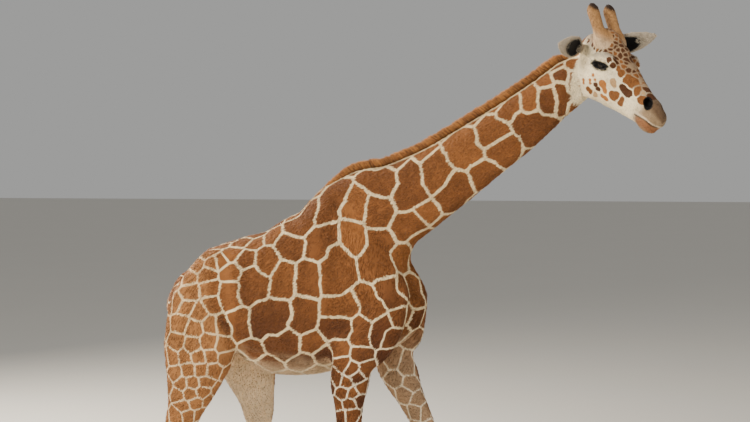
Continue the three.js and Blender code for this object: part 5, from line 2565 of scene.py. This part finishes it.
@dataclass(frozen=True)
class FlatLock(Lock):
    """A small leaf-shaped lock of six faces: a root, two sides, a ridge and a tip."""

    wide_at: float = 0.42
    ridge_at: float = 0.5
    low: float = 0.3
    leaf: tuple[float, ...] = (0.0, 1.0, -1.0, 0.2, 0.0)

    def form(self) -> tuple[np.ndarray, list[float], list[list[int]], np.ndarray]:
        """The leaf's points, how far along it each is, its faces, and their places on its patch."""
        along = [0.0, self.wide_at, self.wide_at, self.ridge_at, 1.0]
        heights = (0.0, self.low, self.low, 1.0, self.low)
        rows = list(zip(along, (0.0, 0.5, -0.5, 0.0, 0.0), heights))
        root, left, right, ridge, tip = range(5)
        faces = [[root, left, right], [left, tip, right], [root, ridge, left], [root, right, ridge]]
        faces += [[left, ridge, tip], [ridge, right, tip]]
        return np.array(rows), along, faces, np.array(self.leaf)


def off_ends(share: np.ndarray, margin: float) -> np.ndarray:
    """A share from 0 to 1, kept off both ends by a margin."""
    return share * (1.0 - 2.0 * margin) + margin


def on_map(across: np.ndarray, along: np.ndarray | float) -> np.ndarray:
    """Rows of places on the map that the locks' looks are baked on."""
    return np.stack((across, np.broadcast_to(along, across.shape), np.zeros(len(across))), -1)


def lock_sizes(length: np.ndarray, width: float, thickness: float) -> np.ndarray:
    """Rows of the locks' lengths, widths and thicknesses, the last two the same for all."""
    return np.stack((length, np.full(len(length), width), np.full(len(length), thickness)), -1)


@dataclass
class Planting:
    """Where locks stand: their roots, the ways they point and face, their sizes and colours."""

    roots: np.ndarray
    ways: np.ndarray
    faces: np.ndarray
    sizes: np.ndarray
    hues: np.ndarray
    unwrap: np.ndarray

    def turns(self) -> np.ndarray:
        """The Euler turns that lay each lock's x along its way and its z along its face.

        Returns:
            Rows of three angles.
        """
        x = unit(self.ways)
        z = unit(self.faces - x * (self.faces * x).sum(axis=1, keepdims=True))
        y = np.cross(z, x)
        pitch = -np.arcsin(np.clip(x[:, 2], -1, 1))
        return np.stack((np.arctan2(y[:, 2], z[:, 2]), pitch, np.arctan2(x[:, 1], x[:, 0])), -1)

    def joined(self, other: "Planting") -> "Planting":
        """This planting and another one together."""
        names = ("roots", "ways", "faces", "sizes", "hues", "unwrap")
        return Planting(*(np.concatenate((getattr(self, n), getattr(other, n))) for n in names))


@dataclass
class Grower:
    """Grows locks of hair on planted points with one tree of geometry nodes."""

    sway: float = 0.16
    uneven: float = 0.22
    seed: int = 11
    tree: bpy.types.NodeTree | None = None
    sockets: dict[str, str] = field(default_factory=dict)

    def __post_init__(self) -> None:
        """Builds the tree."""
        tree = bpy.data.node_groups.new("locks of hair", "GeometryNodeTree")
        for name, kind in (
            ("Geometry", "Geometry"), ("Lock", "Object"), ("Finish", "Material"), ("Sway", "Float"),
            ("Uneven", "Float"), ("Seed", "Int"),
        ):
            socket = tree.interface.new_socket(name, in_out="INPUT", socket_type=f"NodeSocket{kind}")
            self.sockets[name] = socket.identifier
        tree.interface.new_socket("Geometry", in_out="OUTPUT", socket_type="NodeSocketGeometry")
        add, link = tree.nodes.new, tree.links.new
        given, result = add("NodeGroupInput"), add("NodeGroupOutput")
        source = add("GeometryNodeObjectInfo")
        link(given.outputs["Lock"], source.inputs["Object"])
        turn, size = add("GeometryNodeInputNamedAttribute"), add("GeometryNodeInputNamedAttribute")
        for node, name in ((turn, "turn"), (size, "size")):
            node.data_type = "FLOAT_VECTOR"
            node.inputs["Name"].default_value = name
        as_turn, as_sway = add("FunctionNodeEulerToRotation"), add("FunctionNodeEulerToRotation")
        link(turn.outputs["Attribute"], as_turn.inputs["Euler"])
        shake = add("FunctionNodeRandomValue")
        shake.data_type = "FLOAT_VECTOR"
        under = add("ShaderNodeMath")
        under.operation = "MULTIPLY"
        under.inputs[1].default_value = -1.0
        link(given.outputs["Sway"], under.inputs[0])
        link(under.outputs[0], shake.inputs[0])
        link(given.outputs["Sway"], shake.inputs[1])
        link(given.outputs["Seed"], shake.inputs["Seed"])
        link(shake.outputs[0], as_sway.inputs["Euler"])
        together = add("FunctionNodeRotateRotation")
        together.rotation_space = "LOCAL"
        link(as_turn.outputs[0], together.inputs[0])
        link(as_sway.outputs[0], together.inputs[1])
        most, least = add("ShaderNodeMath"), add("ShaderNodeMath")
        most.operation, least.operation = "ADD", "SUBTRACT"
        for node in (most, least):
            node.inputs[0].default_value = 1.0
            link(given.outputs["Uneven"], node.inputs[1])
        vary = add("FunctionNodeRandomValue")
        link(least.outputs[0], vary.inputs[2])
        link(most.outputs[0], vary.inputs[3])
        link(given.outputs["Seed"], vary.inputs["Seed"])
        scaled = add("ShaderNodeVectorMath")
        scaled.operation = "SCALE"
        link(size.outputs["Attribute"], scaled.inputs[0])
        link(vary.outputs[1], scaled.inputs["Scale"])
        copies = add("GeometryNodeInstanceOnPoints")
        link(given.outputs["Geometry"], copies.inputs["Points"])
        link(source.outputs["Geometry"], copies.inputs["Instance"])
        link(together.outputs[0], copies.inputs["Rotation"])
        link(scaled.outputs[0], copies.inputs["Scale"])
        real, dressed = add("GeometryNodeRealizeInstances"), add("GeometryNodeSetMaterial")
        link(copies.outputs[0], real.inputs[0])
        link(real.outputs[0], dressed.inputs["Geometry"])
        link(given.outputs["Finish"], dressed.inputs["Material"])
        link(dressed.outputs[0], result.inputs[0])
        self.tree = tree

    def grow(
        self, name: str, planting: Planting, lock: Lock, finish: bpy.types.Material
    ) -> bpy.types.Mesh:
        """Grows one piece of hair.

        Args:
            name: the piece's name.
            planting: where its locks stand.
            lock: their shape.
            finish: their material.

        Returns:
            A plain mesh with the map OFBake.
        """
        ground = bpy.data.meshes.new(f"{name}_roots")
        ground.from_pydata(planting.roots.tolist(), [], [])
        rows = {"turn": planting.turns(), "size": planting.sizes}
        rows |= {"hue": planting.hues, "root": planting.unwrap}
        for attribute, values in rows.items():
            write_values(ground, attribute, values)
        bed = bpy.data.objects.new(f"{name}_bed", ground)
        bpy.context.scene.collection.objects.link(bed)
        template = lock.build()
        bpy.context.scene.collection.objects.link(template)
        modifier = bed.modifiers.new("locks", "NODES")
        modifier.node_group = self.tree
        values = {"Lock": template, "Finish": finish}
        values |= {"Sway": self.sway, "Uneven": self.uneven, "Seed": self.seed}
        for socket, value in values.items():
            modifier[self.sockets[socket]] = value
        graph = bpy.context.evaluated_depsgraph_get()
        grown = bed.evaluated_get(graph)
        mesh = bpy.data.meshes.new_from_object(grown, preserve_all_data_layers=True, depsgraph=graph)
        mesh.name = name
        for gone in (bed, template):
            data = gone.data
            bpy.data.objects.remove(gone)
            bpy.data.meshes.remove(data)
        self.unwrap(mesh)
        for spare in ("turn", "size", "root", "spot"):
            if spare in mesh.attributes:
                mesh.attributes.remove(mesh.attributes[spare])
        return mesh

    @staticmethod
    def unwrap(mesh: bpy.types.Mesh) -> None:
        """Writes the map OFBake, in which each lock is a small patch at its root's place."""
        both = []
        for name in ("root", "spot"):
            rows = np.empty(len(mesh.vertices) * 3, np.float32)
            mesh.attributes[name].data.foreach_get("vector", rows)
            both.append(rows.reshape(-1, 3)[:, :2])
        corners = np.empty(len(mesh.loops), np.int32)
        mesh.loops.foreach_get("vertex_index", corners)
        layer = mesh.uv_layers.new(name="OFBake")
        places = np.clip(both[0] + both[1], 0.0, 1.0)[corners]
        layer.data.foreach_set("uv", np.ascontiguousarray(places).ravel())


@dataclass
class Coat:
    """The short coat: flat locks that lie along the skin, in pieces for its areas."""

    seed: int = 23
    counts: dict[str, int] = field(
        default_factory=lambda: {
            "head": 32500,
            "neck_low": 27000,
            "neck_high": 24000,
            "trunk_right": 30000,
            "trunk_left": 30000,
            "legs_fore": 31000,
            "legs_hind": 32500,
        }
    )
    length: float = 0.029
    width: float = 0.0062
    rise: float = 0.0017
    lift: float = 0.034
    sink: float = 0.0007
    stray_light: float = 0.07
    edge_breadth: float = 0.010
    edge_length: float = 0.55
    edge_softness: float = 0.0012
    neck_split: float = 0.52
    leg_sizes: Profile = ((0.1, 0.5, 1.2), (0.8, 0.55, 0.85))
    neck_sizes: Profile = ((0.6, 1.0), (0.95, 0.55))
    head_sizes: Profile = ((-60.0, 120.0, 400.0, 640.0), (0.62, 0.56, 0.46, 0.28))
    ear_size: float = 0.45
    horn_size: float = 0.42
    tail_size: float = 0.6
    size_rounds: int = 6
    map_across: float = 0.03
    map_along: float = 0.01

    AREAS = {
        "head": (Part.HEAD, Part.EAR, Part.OSSICONE),
        "neck_low": (Part.NECK,),
        "neck_high": (Part.NECK,),
        "trunk_right": (Part.TRUNK,),
        "trunk_left": (Part.TRUNK,),
        "legs_fore": (Part.SHOULDER, Part.FORELEG),
        "legs_hind": (Part.HAUNCH, Part.HINDLEG, Part.TAIL),
    }

    def share_of_size(self, survey: Survey) -> np.ndarray:
        """How large the coat's locks are at each point of the skin, as a share of the largest."""
        share = np.ones(len(survey.points))
        for on, size in (
            (survey.is_on(Part.FORELEG, Part.HINDLEG), np.interp(survey.points[:, 2], *self.leg_sizes)),
            (survey.is_on(Part.NECK), np.interp(survey.t, *self.neck_sizes)),
            (survey.is_on(Part.HEAD), np.interp(survey.on_head[:, 0], *self.head_sizes)),
            (survey.is_on(Part.EAR), self.ear_size),
            (survey.is_on(Part.OSSICONE), self.horn_size),
            (survey.is_on(Part.TAIL), self.tail_size),
        ):
            share = np.where(on, size, share)
        return relaxed(share, survey.edges, self.size_rounds)

    def within(self, area: str, survey: Survey) -> np.ndarray:
        """Which points of the skin an area holds."""
        inside = survey.is_on(*self.AREAS[area])
        if area.startswith("neck"):
            inside &= (survey.t < self.neck_split) == (area == "neck_low")
        if area.startswith("trunk"):
            inside &= (survey.points[:, 1] < BODY[1, 3]) == (area == "trunk_right")
        return inside

    def plant(
        self,
        area: str,
        mesh: bpy.types.Mesh,
        survey: Survey,
        markings: Markings,
        dye: Dye,
        bare: np.ndarray,
    ) -> Planting:
        """Sets the roots of one area's locks over the skin, evenly for their size.

        Args:
            area: one of AREAS.
            mesh: the skin.
            survey: its survey.
            markings: its net and spots.
            dye: its colours.
            bare: which points stay bare.

        Returns:
            The planting.
        """
        random = np.random.default_rng(self.seed + list(self.AREAS).index(area))
        mesh.calc_loop_triangles()
        corners = np.empty(len(mesh.loop_triangles) * 3, np.int32)
        mesh.loop_triangles.foreach_get("vertices", corners)
        corners = corners.reshape(-1, 3)
        share = self.share_of_size(survey)
        wanted = self.within(area, survey) & ~bare
        corners = corners[wanted[corners].any(axis=1) & ~bare[corners].any(axis=1)]
        a, b, c = (survey.points[corners[:, k]] for k in range(3))
        area_of = np.linalg.norm(np.cross(b - a, c - a), axis=1) / share[corners].mean(axis=1) ** 2
        chosen = corners[random.choice(len(corners), self.counts[area], p=area_of / area_of.sum())]
        weights = random.dirichlet((1.0, 1.0, 1.0), len(chosen))

        def at(values: np.ndarray) -> np.ndarray:
            """The skin's values at the roots."""
            return np.einsum("ij,ij...->i...", weights, values[chosen])

        normals, lie = unit(at(survey.normals)), unit(at(survey.lie))
        size, surface = at(share), at(survey.points)
        face_like = markings.face_mask(survey)[chosen[:, 0]]
        middle = surface + lie * (self.length / 2 * size)[:, None]
        depth = markings.depth_at(middle, face_like) - at(dye.line)
        mask = smooth_step(depth, -self.edge_softness, self.edge_softness)[:, None]
        hues = at(dye.ground) * (1 - mask) + at(dye.patch) * mask
        hues = hues * (1.0 + random.normal(scale=self.stray_light, size=(len(chosen), 1)))
        first = chosen[:, 0]
        strip = off_ends(survey.theta[first] / (2 * np.pi) + 0.5, self.map_across)
        across = (survey.limb[first] + strip) / len(np.unique(survey.limb))
        unwrap = on_map(across, off_ends(survey.t[first], self.map_along))
        near_edge = smooth_step(np.abs(depth), self.edge_breadth, 0.0)
        long = self.length * size * (1.0 - near_edge * (1.0 - self.edge_length))
        sizes = np.stack((long, self.width * size, self.rise * size), -1)
        roots = surface - normals * (self.sink * size)[:, None]
        ways, hues = lie + normals * self.lift, np.clip(hues, 0.0, 1.0)
        return Planting(roots, ways, normals, sizes, hues, unwrap)


@dataclass
class Mane:
    """The short upright mane along the crest of the neck."""

    count: int = 11500
    seed: int = 31
    neck_from: float = 0.2
    neck_to: float = 0.86
    neck_steps: int = 14
    height: float = 47.0
    half: float = 14.0
    last_height: float = 24.0
    last_half: float = 0.5
    path_steps: int = 400
    step: float = 0.004
    lock: Lock = Lock(
        "mane_lock", (0.0, 0.5, 0.82), (0.8, 1.0, 0.7), (0.8, 1.0, 0.7), (0.0, 0.2, 0.1), 0.0
    )
    lean: float = 0.42
    width: float = 0.0038
    thick: float = 0.0022
    sink: float = 10.0
    clump: float = 26.0
    clump_spread: float = 0.8
    clump_slant: float = 0.004
    clump_height: float = 0.05
    clump_lean: float = 0.06
    clump_light: float = 0.10
    edge_drop: float = 0.12
    edge_aside: float = 0.12
    uneven: Range = (0.80, 1.05)
    stray_lean: float = 0.07
    stray_aside: float = 0.05
    light: Range = (0.8, 1.15)
    map_along: float = 0.02
    map_breadth: float = 0.4
    colours: tuple = (tone(178, 120, 64), tone(146, 92, 50), tone(104, 66, 40))
    colour_shares: tuple[float, ...] = (0.5, 0.32, 0.18)

    def path(self) -> Spline:
        """The line of the hair's roots: rows of x, y, z, height and half breadth."""
        rows = [(*s.middle, s.up, s.wide) for s in MANE_END.values()]
        f = Limb(NECK).frames(np.linspace(self.neck_from, self.neck_to, self.neck_steps))
        crest = f["middle"] + f["upward"] * f["half"][:, 1:2]
        rows += [(*place, self.height, self.half) for place in crest[:-1]]
        rows.append((*crest[-1], self.last_height, self.half * self.last_half))
        return Spline(rows)

    def plant(self) -> Planting:
        """Sets the roots of the mane."""
        random = np.random.default_rng(self.seed)
        path = self.path()
        even = np.linspace(0.0, 1.0, self.path_steps)
        gaps = np.linalg.norm(np.diff(path(even)[:, :3], axis=0), axis=1)
        run = np.concatenate(([0.0], np.cumsum(gaps)))
        t = np.interp(random.uniform(0, run[-1], self.count), run, even)
        rows, steps = path(t), (np.maximum(t - self.step, 0.0), np.minimum(t + self.step, 1.0))
        before, after = (path(step)[:, :3] for step in steps)
        along = unit(after - before)
        across = unit(ACROSS - along * (along @ ACROSS)[:, None])
        upward = np.cross(along, across)
        aside = random.uniform(-1.0, 1.0, self.count)
        heaps = random.normal(scale=self.clump_spread, size=int(run[-1] / self.clump) * 2)
        clumps = np.interp(t + aside * self.clump_slant, np.linspace(0.0, 1.0, len(heaps)), heaps)
        tall = rows[:, 3] * (1.0 - self.edge_drop * aside**2) * random.uniform(*self.uneven, self.count)
        tall = tall * (1.0 + clumps * self.clump_height)
        roots = rows[:, :3] + across * (aside * rows[:, 4])[:, None] - upward * self.sink
        lean = self.lean + random.normal(scale=self.stray_lean, size=self.count)
        lean = lean + clumps * self.clump_lean
        slant = random.normal(scale=self.stray_aside, size=self.count) - aside * self.edge_aside
        ways = upward - along * lean[:, None] + across * slant[:, None]
        sizes = lock_sizes((tall + self.sink) * np.sqrt(1.0 + lean**2) * MM, self.width, self.thick)
        picked = random.choice(len(self.colours), self.count, p=self.colour_shares)
        hues = np.array(self.colours)[picked] * random.uniform(*self.light, (self.count, 1))
        hues = hues * (1.0 + clumps * self.clump_light)[:, None]
        unwrap = on_map(off_ends(t, self.map_along), 0.5 + aside * self.map_breadth)
        turn = BODY[:3, :3] / MM
        return Planting(placed(roots, BODY), ways @ turn.T, across @ turn.T, sizes, hues, unwrap)


@dataclass
class TailTuft:
    """The long dark hair of the tail's end."""

    count: int = 1500
    seed: int = 37
    lock: Lock = Lock(
        "tail_lock",
        (0.0, 0.25, 0.5, 0.78),
        (0.6, 1.0, 0.9, 0.6),
        (0.6, 1.0, 0.9, 0.6),
        (0.0, 1.2, 1.6, 0.9),
        0.0,
    )
    width: float = 0.0050
    thick: float = 0.0032
    starts: Range = (0.0, 0.5)
    ends: Range = (0.62, 1.0)
    inward: Range = (0.25, 0.96)
    gather: float = 0.92
    stray: float = 0.2
    light: Range = (0.8, 1.25)
    map_across: float = 0.02
    map_along: float = 0.05
    colours: tuple = (tone(34, 26, 22), tone(52, 38, 30), tone(22, 18, 17))

    def plant(self) -> Planting:
        """Sets the strands of the tuft, which follow its outline."""
        random = np.random.default_rng(self.seed)
        limb = Limb(TAIL_TUFT)
        start, end = (random.uniform(*span, self.count) for span in (self.starts, self.ends))
        theta = random.uniform(0.0, 2 * np.pi, self.count)
        inward = random.uniform(*self.inward, self.count)
        end_theta = theta + random.normal(scale=self.stray, size=self.count)
        places = []
        for t, share, turn in ((start, inward, theta), (end, inward * self.gather, end_theta)):
            middle = placed(limb.frames(t)["middle"], BODY)
            places.append(middle + (limb.at(t, turn) - middle) * share[:, None])
        ways = places[1] - places[0]
        faces = places[0] - placed(limb.frames(start)["middle"], BODY)
        sizes = lock_sizes(np.linalg.norm(ways, axis=1), self.width, self.thick)
        picked = random.choice(len(self.colours), self.count)
        hues = np.array(self.colours)[picked] * random.uniform(*self.light, (self.count, 1))
        across = off_ends(theta / (2 * np.pi) % 1.0, self.map_across)
        unwrap = on_map(across, off_ends(start, self.map_along))
        return Planting(places[0], ways, faces, sizes, hues, unwrap)


@dataclass(frozen=True)
class LashRow:
    """The lashes of one lid: how many, above (1) or below (-1), how long, and how far they droop."""

    count: int
    side: int
    length: float
    droop: float


@dataclass
class Lashes:
    """The lashes of both upper lids, and the short ones of the lower."""

    seed: int = 41
    rows: tuple[LashRow, ...] = (LashRow(90, 1, 0.026, -0.45), LashRow(40, -1, 0.011, -0.25))
    lock: Lock = Lock("lash", (0.0, 0.5), (1.0, 0.8), (1.0, 0.8), (0.0, -2.2), -6.0)
    thick: float = 0.0011
    colour: tuple = tuple(tone(20, 16, 15))
    span_deg: Range = (24.0, 150.0)
    rim: tuple[float, float, float] = (0.88, -5.0, 0.98)
    forward: float = 0.1
    fan: float = 0.45
    outward: float = 0.85
    stray: float = 0.07
    uneven: Range = (0.75, 1.1)
    map_angle: float = 7.0
    map_gap: float = 0.2

    def plant(self) -> Planting:
        """Sets the roots of the lashes along the edges of the lids."""
        random = np.random.default_rng(self.seed)
        parts = []
        wide, back, tall = self.rim
        for row in self.rows:
            count = row.count
            angle = np.radians(random.uniform(*self.span_deg, count)) * row.side
            fan, rise = np.cos(angle), np.sin(angle)
            rim = (fan * LID_SLIT.size[0] * wide, np.full(count, back), rise * LID_SLIT.size[2] * tall)
            own = placed(np.stack(rim, -1), turned(0.0, -LID_SLIT.pitch_deg)) + LID_SLIT.at
            outward, droop = np.full(count, self.outward), np.full(count, row.droop)
            ways = np.stack((fan * self.fan + self.forward, outward, droop), -1)
            ways += random.normal(scale=self.stray, size=ways.shape)
            sizes = lock_sizes(row.length * random.uniform(*self.uneven, count), self.thick, self.thick)
            hues = np.tile(np.array(self.colour), (count, 1))
            unwrap = on_map(angle / self.map_angle + 0.5, 0.5 + row.side * self.map_gap)
            for side in (RIGHT, LEFT):
                place = HEAD_FRAME @ mirrored(side)
                turn = place[:3, :3] / MM
                up = np.tile(UPWARD @ turn.T, (count, 1))
                parts.append(Planting(placed(own, place), ways @ turn.T, up, sizes, hues, unwrap))
        return reduce(Planting.joined, parts)


@dataclass
class EarFringe:
    """The pale longer hair inside the edges of the ears."""

    count: int = 760
    seed: int = 43
    length: float = 0.019
    width: float = 0.0018
    thick: float = 0.0012
    colour: tuple = tuple(tone(188, 176, 156))
    rim: Range = (1.10, 1.26)
    inward: float = 0.16
    lift: float = 0.30
    stray: float = 0.12
    scatter: float = 0.0015
    uneven: Range = (0.6, 1.0)
    light: Range = (0.85, 1.08)
    map_gap: float = 0.2

    def plant(self, survey: Survey) -> Planting:
        """Sets the roots of the fringe just inside each ear's edge.

        Args:
            survey: the skin's survey.

        Returns:
            The planting.
        """
        random = np.random.default_rng(self.seed)
        parts = []
        for side in (RIGHT, LEFT):
            limb = Limb(EAR_SCOOP, ear_place(side), UPWARD)
            ear = np.flatnonzero(survey.is_on(Part.EAR))
            depth = limb.locate(survey.points[ear])["depth"]
            rim = ear[(depth > self.rim[0]) & (depth < self.rim[1])]
            rows = rim[random.integers(0, len(rim), self.count // 2)]
            inward = unit(placed(limb.line(survey.t[rows]), limb.place) - survey.points[rows])
            ways = survey.lie[rows] + inward * self.inward + survey.normals[rows] * self.lift
            ways += random.normal(scale=self.stray, size=ways.shape)
            scale = random.uniform(*self.uneven, len(rows))[:, None]
            sizes = scale * (self.length, self.width, self.thick)
            hues = np.array(self.colour) * random.uniform(*self.light, (len(rows), 1))
            unwrap = on_map(survey.t[rows], 0.5 + side * self.map_gap)
            roots = survey.points[rows] + random.normal(scale=self.scatter, size=(len(rows), 3))
            parts.append(Planting(roots, ways, survey.normals[rows], sizes, hues, unwrap))
        return parts[0].joined(parts[1])


# ---------------------------------------------------------------- studio


@dataclass(frozen=True)
class Lamp:
    """A soft area light that looks at the model."""

    name: str
    place: tuple[float, float, float]
    size: float
    power: float
    colour: tuple[float, float, float] = (1.0, 1.0, 1.0)


@dataclass
class Studio:
    """The plain floor and the soft light round the model."""

    floor_half: float = 60.0
    floor_colour: tuple[int, int, int] = (214, 210, 202)
    floor_dim: float = 0.97
    floor_scale: float = 0.7
    floor_roughness: float = 0.9
    sky_colour: tuple[int, int, int] = (232, 232, 230)
    sky: float = 0.47
    target: tuple[float, float, float] = (0.0, 0.0, 1.8)
    lamps: tuple[Lamp, ...] = (
        Lamp("key", (-5.5, -7.0, 7.5), 3.4, 1400.0, (1.0, 0.95, 0.86)),
        Lamp("rim", (-7.0, 5.0, 6.0), 2.6, 1500.0, (1.0, 0.92, 0.80)),
        Lamp("fill", (8.0, -5.0, 4.0), 5.0, 340.0, (1.0, 0.97, 0.92)),
    )

    def build(self) -> None:
        """Makes the floor, the lights and the pale surroundings."""
        half = self.floor_half
        corners = np.array(((-half, -half, 0), (half, -half, 0), (half, half, 0), (-half, half, 0)))
        floor = bpy.data.objects.new("floor", new_mesh("floor", corners, [[0, 1, 2, 3]]))
        shade = Shade("floor")
        pale = tone(*self.floor_colour)
        clouds = shade.noise(shade.place(), self.floor_scale)
        shade.put(shade.shader.inputs["Base Color"], shade.mix(clouds, pale * self.floor_dim, pale))
        shade.gloss(self.floor_roughness)
        floor.data.materials.append(shade.material)
        bpy.context.scene.collection.objects.link(floor)
        for lamp in self.lamps:
            data = bpy.data.lights.new(lamp.name, "AREA")
            data.shape, data.size, data.energy, data.color = "DISK", lamp.size, lamp.power, lamp.colour
            light = bpy.data.objects.new(lamp.name, data)
            light.location = lamp.place
            way = Vector(self.target) - Vector(lamp.place)
            light.rotation_euler = way.to_track_quat("-Z", "Y").to_euler()
            bpy.context.scene.collection.objects.link(light)
        world = bpy.data.worlds.new("studio")
        world.use_nodes = True
        background = world.node_tree.nodes["Background"]
        background.inputs["Color"].default_value = (*tone(*self.sky_colour), WHITE)
        background.inputs["Strength"].default_value = self.sky
        bpy.context.scene.world = world


# ---------------------------------------------------------------- putting it together


FLESH = (
    *("head", "neck", "trunk", "tail", "ear_right", "ear_left", "ossicone_right", "ossicone_left"),
    *("leg_fore_right", "leg_fore_left", "leg_hind_right", "leg_hind_left"),
)
BARE_HOLLOW = 0.3
BARE_HOLE = 1.15
BARE_LIPS = 1.3


def grow_coat(mesh: bpy.types.Mesh, survey: Survey, markings: Markings, dye: Dye) -> None:
    """Grows the coat's pieces over the skin.

    Args:
        mesh: the skin.
        survey: its survey.
        markings: its net and spots.
        dye: its colours.
    """
    grower, coat, finish = Grower(), Coat(), TuftFinish("locks of the coat").build()
    bare = survey.is_on(Part.EAR) & (dye.ear_hollow(survey) > BARE_HOLLOW)
    head = survey.is_on(Part.HEAD)
    for hole in (LID_SLIT, NOSTRIL, NOSTRIL_DEEP):
        bare |= head & (dye.away(survey.on_head, hole) < BARE_HOLE)
    lips = Limb(MOUTH, HEAD_FRAME, UPWARD).locate(survey.points)["depth"]
    bare |= head & (lips < BARE_LIPS)
    for area in coat.AREAS:
        planting = coat.plant(area, mesh, survey, markings, dye, bare)
        locks = grower.grow(f"coat_{area}", planting, FlatLock("short_lock"), finish)
        new_piece(locks, (), finish)
        LOG.info("coat %s: %d locks", area, len(planting.roots))
    fringe = grower.grow("ear_fringe", EarFringe().plant(survey), FlatLock("fringe_lock"), finish)
    new_piece(fringe, (), finish)


def grow_long_hair() -> None:
    """Grows the mane, the tail's tuft and the lashes."""
    grower = Grower(sway=0.05, uneven=0.08)
    mane, tuft, lashes = Mane(), TailTuft(), Lashes()
    # The mane's locks are painted much darker at the root: painted shade at its foot, painted light along
    # its top.
    rusty = TuftFinish("hair of the mane", tip_light=1.0, root_light=0.62).build()
    new_piece(grower.grow("mane_hair", mane.plant(), mane.lock, rusty), ("mane",), rusty)
    # The tail's hair and the lashes: painted shade at the root, painted light towards the tip.
    dark = TuftFinish("dark hair", tip_light=1.15, root_light=0.8, roughness=0.5).build()
    new_piece(grower.grow("tail_hair", tuft.plant(), tuft.lock, dark), ("tail_tuft",), dark)
    new_piece(grower.grow("lashes", lashes.plant(), lashes.lock, dark), (), dark)
    both_eyes = 2 * sum(row.count for row in lashes.rows)
    LOG.info("mane %d, tail %d, lashes %d", mane.count, tuft.count, both_eyes)


def build_giraffe(camera: CameraSpot) -> None:
    """Builds the skin with its markings, then the eyes and hooves.

    Args:
        camera: the camera, which the seen markings go by.
    """
    skin = Skin()
    mesh = skin.stretch()
    LOG.info("skin: %d points", len(mesh.vertices))
    survey = Survey(mesh_points(mesh), mesh_normals(mesh), mesh_edges(mesh))
    survey.take(skin)
    Relief().press(mesh, survey)
    LOG.info("survey taken")
    tree = BVHTree.FromPolygons(survey.points.tolist(), [list(p.vertices) for p in mesh.polygons])
    markings = Markings()
    markings.plant(survey, tree, camera)
    dye = Dye()
    dye.take(survey, markings)
    write_values(mesh, "net", markings.net(mesh, survey), "CORNER")
    write_values(mesh, "lie", survey.lie)
    for name in ("ground", "patch", "line"):
        write_values(mesh, name, getattr(dye, name))
    new_piece(mesh, FLESH, CoatFinish().build())
    grow_coat(mesh, survey, markings, dye)
    grow_long_hair()
    eyes = EyeFinish().build()
    for side in (RIGHT, LEFT):
        Eye(side).build(eyes)
    Hooves().build(HornFinish().build())


def main() -> None:
    """Builds the camera, the studio and the giraffe; its pieces log their face counts as they are made.
    """
    logging.basicConfig(level=logging.INFO, format="%(relativeCreated)d ms %(message)s", force=True)
    camera = CameraSpot()
    camera.build()
    Studio().build()
    build_giraffe(camera)


if __name__ == "__main__":
    main()
